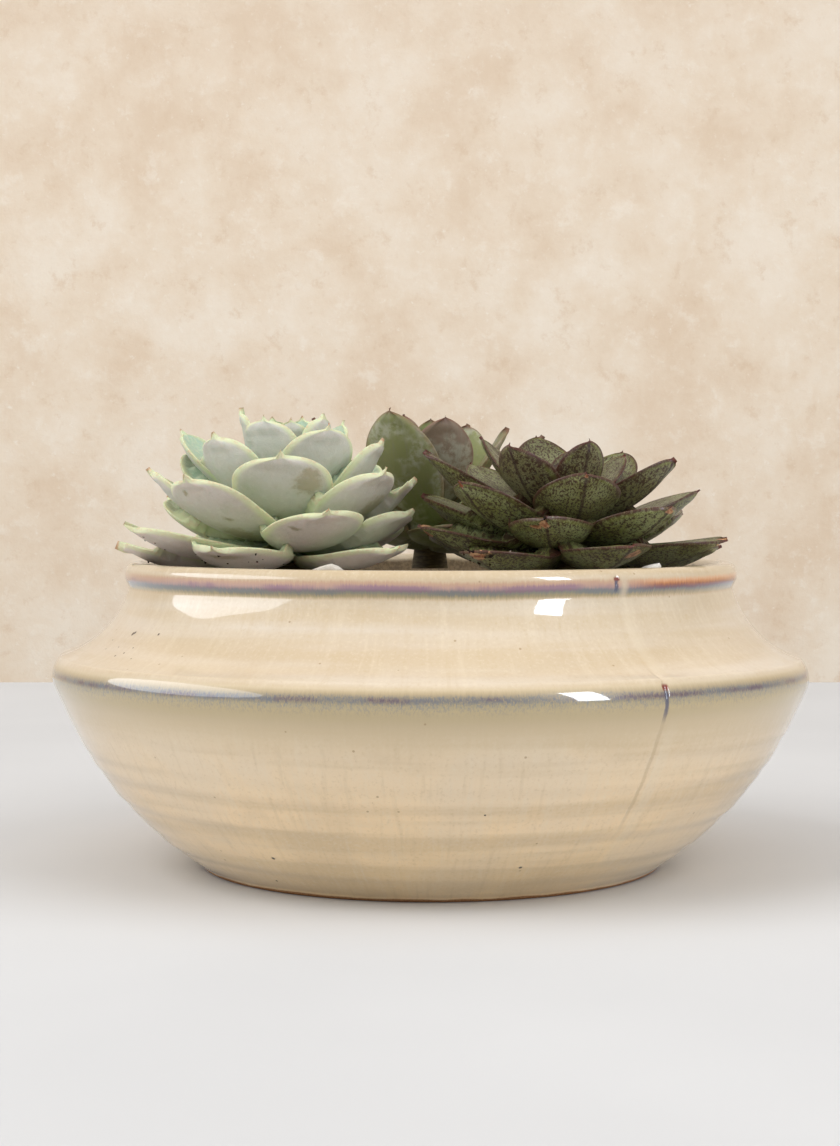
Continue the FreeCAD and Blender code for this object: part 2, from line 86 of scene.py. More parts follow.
def grid_faces(rows, columns, close_rows=False, first=0):
    """Quads over a grid of points whose columns close on themselves."""
    faces = []
    for row in range(rows if close_rows else rows - 1):
        after = (row + 1) % rows
        for column in range(columns):
            beside = (column + 1) % columns
            faces.append((
                first + row * columns + column,
                first + row * columns + beside,
                first + after * columns + beside,
                first + after * columns + column,
            ))
    return faces


def wear(thing, material):
    thing.data.materials.clear()
    thing.data.materials.append(material)


def ride_as(thing, material, body, slot, *nodes):
    """Gives a piece its material and the body it moves with, and hides the CAD nodes it covers; slot is
    not used.
    """
    wear(thing, material)
    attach(thing, body)
    if nodes:
        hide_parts(*nodes)


def rgb(red, green, blue):
    """A colour given as screen values from 0 to 255."""
    values = [channel / 255 for channel in (red, green, blue)]
    return (*[v / 12.92 if v <= 0.04045 else ((v + 0.055) / 1.055) ** 2.4 for v in values], 1.0)


class Paint:
    """One procedural material, built from short calls that return node outputs."""

    def __init__(self, name, **surface):
        self.material = bpy.data.materials.new(name)
        self.material.use_nodes = True
        self.tree = self.material.node_tree
        self.shader = self.tree.nodes["Principled BSDF"]
        for socket, value in surface.items():
            self.shader.inputs[socket.replace("_", " ")].default_value = value
        self.place = self.node("ShaderNodeTexCoord", output="Object")
        self.mm = self.vector("SCALE", {0: self.place, "Scale": 1 / MM})

    def feed(self, socket, value):
        if isinstance(value, bpy.types.NodeSocket):
            self.tree.links.new(value, socket)
        else:
            socket.default_value = value

    def node(self, kind, inputs=None, output=0, **settings):
        made = self.tree.nodes.new(kind)
        for key, value in settings.items():
            setattr(made, key, value)
        for socket, value in (inputs or {}).items():
            self.feed(made.inputs[socket], value)
        return made.outputs[output]

    def vector(self, operation, inputs, output=0):
        return self.node("ShaderNodeVectorMath", inputs, output, operation=operation)

    def math(self, operation, *values):
        return self.node("ShaderNodeMath", dict(enumerate(values)), operation=operation)

    def add(self, first, second):
        return self.math("ADD", first, second)

    def times(self, first, *others):
        for other in others:
            first = self.math("MULTIPLY", first, other)
        return first

    def invert(self, value):
        return self.math("SUBTRACT", 1.0, value)

    def most(self, first, second):
        return self.math("MAXIMUM", first, second)

    def sway(self, noise, reach):
        """A noise turned into a shift of up to half the reach either way."""
        return self.times(self.add(noise, -0.5), reach)

    def range(self, value, low, high, start=0.0, end=1.0):
        """start below low, end above high, an S between."""
        inputs = {"Value": value, "From Min": low, "From Max": high, "To Min": start, "To Max": end}
        return self.node("ShaderNodeMapRange", inputs, interpolation_type="SMOOTHSTEP")

    def band(self, value, low, high, soft):
        """1 between low and high, with soft ends."""
        rise = self.range(value, low - soft, low + soft)
        return self.times(rise, self.range(value, high + soft, high - soft))

    def mix(self, share, first, second):
        return self.node("ShaderNodeMix", {0: share, 6: first, 7: second}, output=2, data_type="RGBA")

    def coats(self, colour, *layers):
        """Lays colours over one another.

        A layer says what it follows, its strength and its red, green and blue.  With two
        more numbers after the first, it grows from nothing to full between those values.
        """
        for share, *reach, strength, top in layers:
            if reach:
                share = self.range(share, *reach)
            colour = self.mix(self.times(share, strength), colour, rgb(*top))
        return colour

    def ramp(self, value, *stops, low=0.0, high=1.0):
        """Colours along a value between low and high: place, red, green and blue."""
        made = self.tree.nodes.new("ShaderNodeValToRGB")
        elements = made.color_ramp.elements
        while len(elements) < len(stops):
            elements.new(0.5)
        for element, (place, *colour) in zip(elements, stops):
            element.position = (place - low) / (high - low)
            element.color = rgb(*colour)
        share = self.node("ShaderNodeMapRange", {"Value": value, "From Min": low, "From Max": high})
        self.feed(made.inputs[0], share)
        return made.outputs[0]

    def noise(self, scale, detail=3.0, roughness=0.5, at=None):
        """Soft noise of about 1/scale mm per bump, mostly between 0.3 and 0.7."""
        inputs = {"Scale": scale, "Detail": detail, "Roughness": roughness}
        return self.node("ShaderNodeTexNoise", {"Vector": self.mm if at is None else at, **inputs})

    def cells(self, scale, output="Distance"):
        return self.node("ShaderNodeTexVoronoi", {"Vector": self.mm, "Scale": scale}, output=output)

    def stretch(self, x, y, z, at=None):
        """The place stretched along its axes."""
        return self.vector("MULTIPLY", {0: self.mm if at is None else at, 1: (x, y, z)})

    def vertex(self, name, output="Fac"):
        """A value stored on the mesh."""
        return self.node("ShaderNodeAttribute", output=output, attribute_name=name)

    def parts(self, vector):
        """Its x, y and z."""
        made = self.tree.nodes.new("ShaderNodeSeparateXYZ")
        self.feed(made.inputs[0], vector)
        return made.outputs

    def relief(self, *heights):
        """Reliefs over one another: what each follows and its height in mm."""
        normal = None
        for height, distance in heights:
            inputs = {"Height": height, "Distance": distance * MM, "Strength": 1.0}
            if normal is not None:
                inputs["Normal"] = normal
            normal = self.node("ShaderNodeBump", inputs)
        return normal

    def finish(self, colour=None, roughness=None, normal=None):
        for socket, value in (("Base Color", colour), ("Roughness", roughness), ("Normal", normal)):
            if value is not None:
                self.feed(self.shader.inputs[socket], value)
        return self.material


# ---------------------------------------------------------------- camera, floor and light

CAMERA_PLACE = (-3.5, -718.0, 121.3)
CAMERA_DIP = 0.0345
CAMERA_LENS = 67.5
SENSOR_WIDTH = 36.0

TABLE_BACK = 700.0
TABLE_THICK = 30.0
WALL_PLACE = 1750.0
STAGE_REACH = 4000.0
# Painted shade: the wall is painted darker between these heights, where less light reaches it.
WALL_SHADE_FADE = (300.0, 1100.0)

# Soft lights: name, azimuth and elevation in degrees, distance, width, height and power.  The two
# that only show as reflections say True, and a shape if it isn't a rectangle.
SOFTBOXES = (
    ("left_key", -60, 42, 2600, 1900, 1700, 44.5),
    ("right_fill", 58, 36, 2600, 2100, 1900, 38.5),
    ("top_soft", 0, 84, 3000, 3000, 3000, 17.0),
    ("left_glint", -80, 20, 1200, 1350, 620, 7.0, True, "ELLIPSE"),
    ("right_glint", 45, 23, 1200, 200, 580, 6.5, True),
)
LIGHT_TARGET = (0.0, 0.0, 80.0)
GLINT_COLOUR = (0.84, 0.91, 1.0)
ROOM_LIGHT = 0.56


def make_camera():
    data = bpy.data.cameras.new("camera")
    data.lens = CAMERA_LENS
    data.sensor_width = SENSOR_WIDTH
    data.clip_start = 0.01
    data.clip_end = 20.0
    camera = bpy.data.objects.new("camera", data)
    camera.location = Vector(CAMERA_PLACE) * MM
    camera.rotation_euler = (math.pi / 2 - CAMERA_DIP, 0.0, 0.0)
    bpy.context.scene.collection.objects.link(camera)
    bpy.context.scene.camera = camera


def table_paint():
    paint = Paint("pale_table", Roughness=0.62, Specular_IOR_Level=0.35)
    cloud = paint.noise(0.004)
    grain = paint.noise(0.6, 4.0)
    colour = paint.mix(paint.range(cloud, 0.3, 0.7), rgb(201, 202, 204), rgb(207, 208, 210))
    return paint.finish(colour, normal=paint.relief((grain, 0.02)))


def wall_paint():
    paint = Paint("beige_wall", Roughness=0.9)
    cloud = paint.noise(0.0085, 6.0, 0.66)
    patch = paint.noise(0.028, 7.0, 0.72)
    fleck = paint.noise(0.1, 5.0, 0.7)
    height = paint.parts(paint.mm)[2]
    colour = paint.coats(
        paint.ramp(cloud, (0.36, 226, 205, 181), (0.5, 233, 216, 195), (0.64, 238, 225, 208)),
        (patch, 0.52, 0.68, 0.5, (243, 233, 219)),
        (patch, 0.46, 0.32, 0.5, (216, 190, 162)),
        (fleck, 0.58, 0.72, 0.6, (246, 237, 225)),
        # painted shade: the wall is darker towards the top
        (height, *WALL_SHADE_FADE, 0.35, (206, 188, 170)),
    )
    return paint.finish(colour, normal=paint.relief((patch, 1.5)))


def make_stage():
    """A pale table top that ends behind the bowl, and a plain warm wall further back."""
    near, far = -STAGE_REACH, STAGE_REACH
    top = [(near, near, 0), (far, near, 0), (far, TABLE_BACK, 0), (near, TABLE_BACK, 0)]
    front = [(x, y, -TABLE_THICK) for x, y, _ in top]
    table = add_mesh("table_top", top + front, [(0, 1, 2, 3), (3, 2, 6, 7)])
    corners = [(x, WALL_PLACE, z) for x, z in ((near, near), (far, near), (far, far), (near, far))]
    wall = add_mesh("wall", corners, [(0, 1, 2, 3)])
    for thing, material in ((table, table_paint()), (wall, wall_paint())):
        thing.data.shade_flat()
        wear(thing, material)


def add_softbox(name, azimuth, elevation, distance, width, height, power, glint=False, shape="RECTANGLE"):
    """A soft light that faces the bowl; a glint shows only as a reflection, the others never do."""
    data = bpy.data.lights.new(name, "AREA")
    data.shape = shape
    data.size = width * MM
    data.size_y = height * MM
    data.energy = power
    if glint:
        data.color = GLINT_COLOUR
    light = bpy.data.objects.new(name, data)
    turn, lift = math.radians(azimuth), math.radians(elevation)
    away = Vector((math.sin(turn) * math.cos(lift), -math.cos(turn) * math.cos(lift), math.sin(lift)))
    light.location = (Vector(LIGHT_TARGET) + away * distance) * MM
    light.rotation_mode = "QUATERNION"
    light.rotation_quaternion = away.to_track_quat("Z", "Y")
    light.visible_diffuse = not glint
    light.visible_glossy = glint
    light.visible_camera = False
    bpy.context.scene.collection.objects.link(light)


def make_lights():
    for softbox in SOFTBOXES:
        add_softbox(*softbox)
    world = bpy.data.worlds.new("studio")
    world.use_nodes = True
    background = world.node_tree.nodes["Background"]
    background.inputs["Color"].default_value = rgb(238, 238, 237)
    background.inputs["Strength"].default_value = ROOM_LIGHT
    bpy.context.scene.world = world
    bpy.context.scene.view_settings.view_transform = "Standard"


# ---------------------------------------------------------------- the bowl

# The bowl's outline as in the CAD model: radius and height of its corners.
FOOT_INNER, FOOT_OUTER = 64.0, 75.8
WALL_FOOT = (77.2, 1.6)
WALL_ROUND = 118.0
SHOULDER_LOW, SHOULDER_TOP = (122.6, 57.0), (122.3, 69.8)
SHOULDER_ROUND = 9.5
NECK = (100.1, 92.6)
NECK_ROUND = 33.0
LIP_LOW, LIP_HIGH = (101.3, 95.2), (101.3, 97.6)
RIM_OUTER, RIM_INNER = (98.6, 100.6), (96.8, 100.6)
RIM_ROUND = 3.2
INNER_NECK = 94.5
INNER_RIM_LOW = 97.8
SOIL_HEIGHT = 88.0
INSIDE = ((103.5, 77.5), (117.5, 62.0), (107.5, 45.0), (92.0, 27.0), (76.0, 13.0))
FLOOR_HEIGHT = 13.0
DRAIN_RADIUS = 9.5
RECESS_RADIUS, RECESS_HEIGHT = 61.0, 5.0
# Looks only: how far and how often the shoulder's lower edge is softened, how far the shoulder
# leans to one side, and how far out the wall may reach.
SOFTENED_REACH = 3.5
SOFTENINGS = 60
SHOULDER_LEAN = 0.5
WIDEST_RADIUS = 124.95

# The crease that runs down the bowl: a fine groove with a soft rib to its right.  It is deep
# only where it crosses the crest of the shoulder and the lip.
CREASE_AZIMUTH = math.radians(32.5)
CREASE_WIDTH = 0.6
CREST_HEIGHT, LIP_HEIGHT = 66.0, 96.5
CREASE_DEPTH, CREASE_LOW_DEPTH = 0.45, 0.07
RIB_START, RIB_END = 0.6, 6.6
RIB_HIGH, RIB_LOW = 0.07, 0.13
FINE_COLUMNS = 54
COARSE_STEP = math.radians(1.2)

# Throwing rings: depth, height of one ring, turns of its spiral, how much, how often and from
# where it sways round the bowl, and its start.
THROWING_RINGS = (
    (0.09, 8.3, 1, 0.6, 2, 0.0, 0.0),
    (0.06, 5.1, 2, 0.0, 1, 0.0, 2.0),
    (0.09, 13.0, 0, 0.8, 1, 1.0, 0.0),
)

# Azimuth in degrees, height and size of the dark specks in the glaze.
IRON_SPOTS = (
    (-59.5, 79.6, 0.9), (-59.0, 80.0, 0.7), (-51.0, 80.2, 0.5), (-65.5, 77.0, 0.4), (-56.0, 74.2, 0.45),
    (-57.5, 73.2, 0.5), (-55.0, 75.8, 0.35), (-60.0, 75.5, 0.35), (-52.0, 73.0, 0.35),
    (-64.0, 74.5, 0.35), (-30.5, 14.0, 0.75), (16.5, 12.8, 0.7), (-35.0, 5.0, 0.5), (8.0, 31.0, 0.4),
    (118.0, 38.0, 0.8), (164.0, 20.0, 0.7), (-150.0, 50.0, 0.6), (-110.0, 80.0, 0.6),
)


def line_points(start, end, step):
    count = max(1, math.ceil(math.dist(start, end) / step))
    return [tuple(mix(np.array(start), np.array(end), k / count)) for k in range(count)]


def arc_points(start, end, radius, side, step):
    """Points of an arc that bulges to the left (side 1) or right (side -1) of its chord."""
    start, end = np.array(start), np.array(end)
    chord = end - start
    half = np.linalg.norm(chord) / 2
    left = np.array((-chord[1], chord[0])) / (2 * half)
    centre = (start + end) / 2 - left * side * math.sqrt(radius**2 - half**2)
    first = math.atan2(*(start - centre)[::-1])
    turn = -side * 2 * math.asin(half / radius)
    count = max(2, math.ceil(abs(turn) * radius / step))
    angles = [first + turn * k / count for k in range(count)]
    return [(centre[0] + radius * math.cos(a), centre[1] + radius * math.sin(a)) for a in angles]


def run_points(*runs):
    """Points along runs: start, end and step, and for an arc its radius and side too."""
    points = []
    for start, end, step, *arc in runs:
        points += arc_points(start, end, *arc, step) if arc else line_points(start, end, step)
    return points


def soften(points, height, reach):
    """Rounds an outline off where two arcs meet at a height."""
    share = 0.5 * np.exp(-(((points[:, 1] - height) / reach) ** 2))[:, None]
    for _ in range(SOFTENINGS):
        even = (np.roll(points, 1, axis=0) + np.roll(points, -1, axis=0)) / 2
        points = points + share * (even - points)
    return points


def bowl_outline():
    """The section of the bowl, all the way round, and how many points are on its outside."""
    foot_edge, wall_start = (FOOT_OUTER - 0.5, 0.0), (FOOT_OUTER + 0.4, 0.4)
    outside = run_points(
        ((FOOT_INNER, 0.0), foot_edge, 3.0),
        (foot_edge, wall_start, 0.35),
        (wall_start, WALL_FOOT, 0.5),
        (WALL_FOOT, SHOULDER_LOW, 0.95, WALL_ROUND, -1),
        (SHOULDER_LOW, SHOULDER_TOP, 0.55, SHOULDER_ROUND, -1),
        (SHOULDER_TOP, NECK, 0.8, NECK_ROUND, 1),
        (NECK, LIP_LOW, 0.5),
        (LIP_LOW, LIP_HIGH, 0.5),
        (LIP_HIGH, RIM_OUTER, 0.5, RIM_ROUND, -1),
        (RIM_OUTER, RIM_INNER, 0.6),
    )
    outside = soften(np.array(outside), SHOULDER_LOW[1], SOFTENED_REACH)
    rim_edge, soil_line = (INNER_NECK, INNER_RIM_LOW), (INNER_NECK, SOIL_HEIGHT)
    hole_top = (DRAIN_RADIUS, FLOOR_HEIGHT - 0.8)
    inside = run_points((RIM_INNER, rim_edge, 0.5, RIM_ROUND, -1), (rim_edge, soil_line, 2.0))
    inside += [soil_line, *INSIDE]
    inside += run_points(((DRAIN_RADIUS + 1.0, FLOOR_HEIGHT), hole_top, 0.5))
    inside += [hole_top, (DRAIN_RADIUS, RECESS_HEIGHT + 0.8)]
    inside += [(DRAIN_RADIUS + 1.0, RECESS_HEIGHT), (RECESS_RADIUS - 1.0, RECESS_HEIGHT)]
    inside += [(RECESS_RADIUS, RECESS_HEIGHT - 0.8)]
    inside += run_points(((RECESS_RADIUS + 0.6, 2.4), (FOOT_INNER - 0.6, 0.3), 1.5))
    return np.concatenate([outside, np.array(inside)]), len(outside)


def bowl_columns():
    """Azimuths round the bowl, close together over the crease."""
    low, high = CREASE_AZIMUTH - math.radians(2.0), CREASE_AZIMUTH + math.radians(4.4)
    fine = np.linspace(low, high, FINE_COLUMNS)
    rest = 2 * math.pi - (high - low)
    count = round(rest / COARSE_STEP)
    return np.concatenate([fine, high + np.arange(1, count) * rest / count])


def throwing_rings(height, azimuth):
    """The soft rings that a potter's fingers leave, strongest low on the wall."""
    spiral = azimuth / (2 * math.pi)
    rings = 0.0
    for depth, pitch, starts, wobble, lobes, lag, offset in THROWING_RINGS:
        turn = 2 * math.pi * (height / pitch + starts * spiral)
        rings = rings + depth * np.cos(turn + wobble * np.sin(lobes * azimuth + lag) + offset)
    strength = smooth(height, 2.5, 9.0) * smooth(height, 56.0, 36.0)
    strength += 0.25 * smooth(height, 70.0, 74.0) * smooth(height, 91.0, 86.0)
    return rings * strength


def slow_waves(height, azimuth):
    """The bowl is a little out of round, as hand-thrown ones are."""
    wave = 0.16 * np.sin(2 * azimuth + 0.4) + 0.09 * np.sin(5 * azimuth + height / 19)
    return wave * smooth(height, 3.0, 25.0) * smooth(height, 99.5, 88.0)


def crease_relief(away, height):
    """away is the distance along the wall from the crease, growing to the right."""
    depth = CREASE_LOW_DEPTH * smooth(height, CREST_HEIGHT, 58.0)
    for crossing, reach in ((CREST_HEIGHT, 4.0), (LIP_HEIGHT, 2.0)):
        depth = depth + CREASE_DEPTH * np.exp(-(((height - crossing) / reach) ** 2))
    depth *= smooth(height, 6.0, 20.0) * smooth(height, 100.4, 99.0)
    groove = -depth * np.exp(-((away / CREASE_WIDTH) ** 2))
    rib = smooth(away, RIB_START, RIB_START + 1.4) * smooth(away, RIB_END, RIB_END - 3.4)
    rib_height = mix(RIB_HIGH, RIB_LOW, smooth(height, 70.0, 60.0))
    return groove + rib_height * rib * smooth(height, 6.0, 20.0) * smooth(height, 97.0, 92.0)


def make_bowl():
    outline, outer_count = bowl_outline()
    columns = bowl_columns()
    along = np.roll(outline, -1, axis=0) - np.roll(outline, 1, axis=0)
    along /= np.linalg.norm(along, axis=1)[:, None]
    radius, height = outline[:, 0][:, None], outline[:, 1][:, None]
    azimuth = columns[None, :]
    turn = (azimuth - CREASE_AZIMUTH + math.pi) % (2 * math.pi) - math.pi
    away = radius * turn
    relief = throwing_rings(height, azimuth) + slow_waves(height, azimuth) + crease_relief(away, height)
    raised = height[:, 0] > 1.0
    relief[outer_count:] = 0.0
    relief[height[:, 0] < 1.0] = 0.0
    out = radius + relief * along[:, 1][:, None]
    up = height - relief * along[:, 0][:, None]
    out[raised] = np.minimum(out[raised], WIDEST_RADIUS)
    # The shoulder leans a little to one side; the rim and the foot are level.
    lean = smooth(height, 20.0, 60.0) * smooth(height, 94.0, 72.0)
    lean[outer_count:] = 0.0
    up = up - SHOULDER_LEAN * lean * np.sin(azimuth)
    points = np.stack([out * np.sin(azimuth), -out * np.cos(azimuth), up], axis=-1).reshape(-1, 3)
    bowl = add_mesh("bowl", points, grid_faces(len(outline), len(columns), close_rows=True))
    add_values(bowl, "crease", np.clip(away, -30.0, 30.0).ravel())
    inside = np.zeros_like(away)
    inside[outer_count:] = 1.0
    add_values(bowl, "inside", inside.ravel())
    ride_as(bowl, glaze_paint(), "pot", "glazed_stoneware", "pot_body")


def lip_colour(paint, level, azimuth, plan):
    """The lip: pink or rust above, grey where the glaze ran thick below."""
    left = paint.ramp(
        level, (92.0, 204, 180, 144), (93.0, 172, 158, 124), (93.9, 138, 138, 124), (94.5, 132, 130, 128),
        (95.1, 158, 136, 132), (95.9, 184, 150, 137), (96.9, 194, 160, 135), (97.8, 206, 184, 154),
        low=91.0, high=99.0,
    )
    right = paint.ramp(
        level, (92.2, 198, 174, 140), (93.3, 162, 148, 118), (94.1, 122, 120, 116), (94.8, 110, 74, 88),
        (95.5, 142, 86, 66), (96.3, 196, 134, 86), (97.0, 216, 168, 130), (97.8, 210, 186, 154),
        low=91.0, high=99.0,
    )
    patch = paint.range(paint.noise(0.055, at=plan), 0.42, 0.58)
    bruise = paint.times(paint.band(level, 94.4, 96.2, 0.5), patch)
    blue = paint.times(paint.band(level, 93.4, 94.9, 0.4), paint.invert(patch))
    left = paint.coats(left, (bruise, 0.75, (138, 106, 128)), (blue, 0.5, (112, 120, 132)))
    on_right = paint.times(paint.range(azimuth, 0.57, 0.78), paint.range(azimuth, 3.0, 2.3))
    return paint.mix(on_right, left, right)


def crest_colour(paint, z, level, shift, sway, dusk):
    """The shoulder: a broken dark line on the crest over flecked olive glaze that fades below."""
    crest = paint.ramp(
        paint.add(z, paint.times(shift, 0.6)),
        (48.0, 220, 200, 166), (56.5, 204, 184, 149), (62.0, 182, 164, 126), (63.8, 162, 150, 120),
        (65.0, 138, 130, 114), (66.2, 152, 140, 116), (67.2, 184, 165, 132), (68.4, 206, 188, 156),
        low=46.0, high=70.0,
    )
    ochre = paint.noise(2.4, 2.0, 0.6, at=paint.stretch(1.0, 1.0, 0.6))
    flecked = paint.times(paint.range(level, 60.0, 64.6), paint.range(level, 67.0, 66.0))
    crest = paint.coats(
        crest,
        (paint.times(flecked, paint.range(dusk, 0.46, 0.62)), 0.62, (116, 122, 130)),
        (paint.times(flecked, paint.range(ochre, 0.52, 0.66)), 0.45, (196, 168, 112)),
    )
    violet = paint.range(paint.noise(0.07, 2.0), 0.44, 0.56)
    dark = paint.mix(violet, rgb(106, 108, 116), rgb(98, 78, 92))
    broken = paint.range(paint.add(sway, paint.times(dusk, 0.8)), 0.72, 1.02, 0.3, 1.0)
    line = paint.band(paint.add(z, paint.times(shift, 0.7)), 64.7, 65.9, 0.8)
    return paint.mix(paint.times(line, broken), crest, dark)


def iron_specks(paint):
    """Small dark pits in the glaze, where IRON_SPOTS says."""
    pits = 0.0
    for spot_azimuth, spot_height, spot_size in IRON_SPOTS:
        turn = math.radians(spot_azimuth)
        radius = wall_radius(spot_height)
        spot = (radius * math.sin(turn), -radius * math.cos(turn), spot_height)
        reach = paint.vector("DISTANCE", {0: paint.mm, 1: spot}, output="Value")
        pits = paint.most(pits, paint.range(reach, spot_size, spot_size * 0.45))
    return pits


def glaze_paint():
    """Glossy cream glaze over buff clay, violet and blue where it breaks over the edges."""
    paint = Paint(
        "cream_glaze", Specular_IOR_Level=0.25, Coat_Weight=1.0, Coat_Roughness=0.035, Coat_IOR=1.55,
    )
    x, y, z = paint.parts(paint.mm)
    azimuth = paint.math("ARCTAN2", x, paint.times(y, -1.0))
    plan = paint.stretch(1, 1, 0)
    around = paint.vector("SCALE", {0: paint.vector("NORMALIZE", {0: plan}), "Scale": 120.0})
    run = paint.vector("ADD", {0: around, 1: paint.stretch(0, 0, 0.16)})
    crease, inside = paint.vertex("crease"), paint.vertex("inside")

    cloud = paint.noise(0.022, 4.0, 0.55)
    mottle = paint.noise(0.9, 3.0, 0.6)
    streak = paint.noise(0.4, 4.0, 0.6, at=run)
    ring = paint.noise(0.13, at=paint.stretch(0.04, 0.04, 1.0))
    # Painted highlight: a soft light stroke along the rib beside the crease, where the ridge catches the
    # light.
    rib = paint.times(paint.band(crease, 1.6, 5.0, 2.2), paint.band(z, 14.0, 90.0, 8.0))
    # The glaze's own colour by height, except that the lower wall is painted lighter than the belly:
    # painted light that lifts the shade on the wall that faces down.
    colour = paint.ramp(
        z, (10.0, 248, 218, 170), (30.0, 242, 213, 171), (46.0, 231, 208, 174), (56.0, 215, 193, 159),
        (67.0, 204, 185, 154), (70.0, 219, 205, 187), (76.5, 207, 189, 166), (84.0, 214, 201, 184),
        (91.0, 205, 189, 165), low=0.0, high=100.0,
    )
    colour = paint.coats(
        colour,
        (cloud, 0.46, 0.62, 0.35, (222, 206, 182)),
        (cloud, 0.5, 0.36, 0.3, (200, 178, 144)),
        (ring, 0.58, 0.4, 0.45, (196, 171, 130)),
        (streak, 0.5, 0.7, 0.2, (228, 214, 190)),
        (streak, 0.48, 0.3, 0.2, (196, 172, 134)),
        (mottle, 0.53, 0.7, 0.22, (230, 217, 192)),
        (mottle, 0.46, 0.3, 0.24, (194, 169, 128)),
        (rib, 0.28, (228, 214, 188)),
    )

    # Fine upright flecks shift the height that the bands of the lip and the shoulder see.
    fleck = paint.noise(1.5, 4.0, 0.72, at=run)
    sway = paint.noise(0.03, 2.0)
    shift = paint.add(paint.sway(fleck, 2.2), paint.sway(sway, 1.6))
    level = paint.add(z, shift)
    off_rib = paint.invert(paint.times(paint.band(crease, 1.7, 4.3, 1.1), 0.75))
    lip_share = paint.times(paint.band(level, 92.1, 98.0, 0.7), off_rib, paint.invert(inside))
    colour = paint.mix(lip_share, colour, lip_colour(paint, level, azimuth, plan))
    dusk = paint.noise(1.9, 3.0, 0.65, at=paint.stretch(1.0, 1.0, 0.5))
    crest_share = paint.times(paint.range(z, 46.0, 60.0), paint.range(z, 69.4, 67.4))
    colour = paint.mix(crest_share, colour, crest_colour(paint, z, level, shift, sway, dusk))

    # Blue glaze pools in the crease where it crosses the lip and the shoulder, with rust above.
    near = paint.math("ABSOLUTE", paint.add(crease, paint.sway(dusk, 0.8)))
    crossing = paint.add(paint.band(z, 94.0, 98.0, 0.8), paint.band(z, 58.5, 67.0, 2.5))
    pool = paint.times(paint.range(near, 0.9, 0.4), crossing)
    rust = paint.add(paint.band(z, 66.6, 68.2, 0.5), paint.band(z, 97.2, 98.2, 0.4))
    rust = paint.times(paint.range(near, 1.4, 0.7), rust)
    thin = paint.times(paint.range(near, 1.0, 0.3), paint.band(z, 26.0, 58.0, 8.0))
    pits = iron_specks(paint)
    colour = paint.coats(
        colour,
        (pool, 0.85, (70, 74, 100)),
        (rust, 1.0, (128, 56, 40)),
        (thin, 0.35, (172, 146, 108)),
        (pits, 1.0, (70, 52, 40)),
        (paint.cells(0.11), 0.055, 0.03, 0.55, (150, 116, 78)),
    )

    # Painted shade: the inside is painted soil-brown up to an uneven line under the rim, for the deep
    # shade under the leaves.
    tide = paint.add(z, paint.sway(paint.noise(0.12, 4.0, 0.6), 3.0))
    inside_shade = paint.times(inside, paint.range(tide, 99.4, 97.6), 0.8)
    inside_shade_colour = paint.mix(paint.range(mottle, 0.4, 0.6), rgb(72, 56, 40), rgb(112, 92, 66))
    colour = paint.mix(inside_shade, colour, inside_shade_colour)

    # Bare clay at the foot and under the bowl, and inside below the soil.
    clay_grain = paint.noise(1.6, 4.0, 0.7)
    clay = paint.mix(paint.range(clay_grain, 0.35, 0.65), rgb(150, 104, 66), rgb(178, 132, 90))
    foot_line = paint.add(1.0, paint.sway(paint.noise(0.08), 1.2))
    bare = paint.range(paint.math("SUBTRACT", z, foot_line), 0.35, -0.15)
    bare = paint.most(bare, paint.times(inside, paint.range(z, 90.0, 86.0)))
    colour = paint.mix(bare, colour, clay)
    roughness = paint.add(paint.times(bare, 0.5), 0.32)

    peel = paint.noise(0.35, 2.0)
    holes, grit = paint.times(pits, -1.0), paint.times(clay_grain, bare)
    relief = paint.relief((peel, 0.05), (holes, 0.5), (grit, 0.15))
    paint.feed(paint.shader.inputs["Coat Weight"], paint.invert(bare))
    return paint.finish(colour, roughness, relief)


def wall_radius(height):
    """Outer radius of the bowl at a height."""
    outline, outer_count = bowl_outline()
    outside = outline[:outer_count]
    rising = outside[np.argsort(outside[:, 1])]
    return float(np.interp(height, rising[:, 1], rising[:, 0]))


# ---------------------------------------------------------------- the leaves

# The CAD model's leaf law, repeated: how each plant lays out and shapes its leaves.
PLANT_WORDS = (
    "x", "y", "stem_tip", "count", "phase", "hand", "root",
    "rise_inner", "rise_outer", "rise_power",
    "length_inner", "length_outer", "length_power",
    "width", "width_inner", "thick", "thick_inner", "full_at",
    "base_top", "base_low", "bend", "bend_inner", "bend_outer",
    "widest", "foot", "swell", "blunt", "point", "cup", "keel",
)
PLANT_VALUES = {
    "pale": (
        -47.0, -14.0, 122.0, 30, 12.5, 1, 3.0,
        82.0, 2.0, 1.38,
        27.0, 53.0, 0.75,
        32.0, 0.42, 4.0, 0.5, 0.4,
        121.0, 102.0, 52.0, 0.4, 0.77,
        0.66, 0.34, 1.3, 2.4, 0.6, 0.19, 0.0,
    ),
    "speckled": (
        43.0, -20.0, 118.0, 27, -60.0, -1, 3.0,
        72.0, 3.0, 1.6,
        24.0, 52.0, 0.42,
        28.0, 0.45, 4.2, 0.5, 0.4,
        117.0, 102.0, 32.0, 0.5, 0.86,
        0.5, 0.4, 1.2, 1.6, 0.9, 0.2, 0.8,
    ),
    "bronze": (
        0.0, 50.0, 119.0, 17, 40.0, 1, 3.0,
        82.0, 30.0, 1.3,
        30.0, 52.0, 0.6,
        28.0, 0.5, 3.6, 0.5, 0.5,
        118.0, 104.0, 40.0, 0.6, 0.8,
        0.62, 0.4, 1.2, 1.8, 0.75, 0.18, 0.3,
    ),
}
PLANT_TRAITS = {plant: dict(zip(PLANT_WORDS, values)) for plant, values in PLANT_VALUES.items()}
STEM_PLACES = {plant: (trait["x"], trait["y"]) for plant, trait in PLANT_TRAITS.items()}
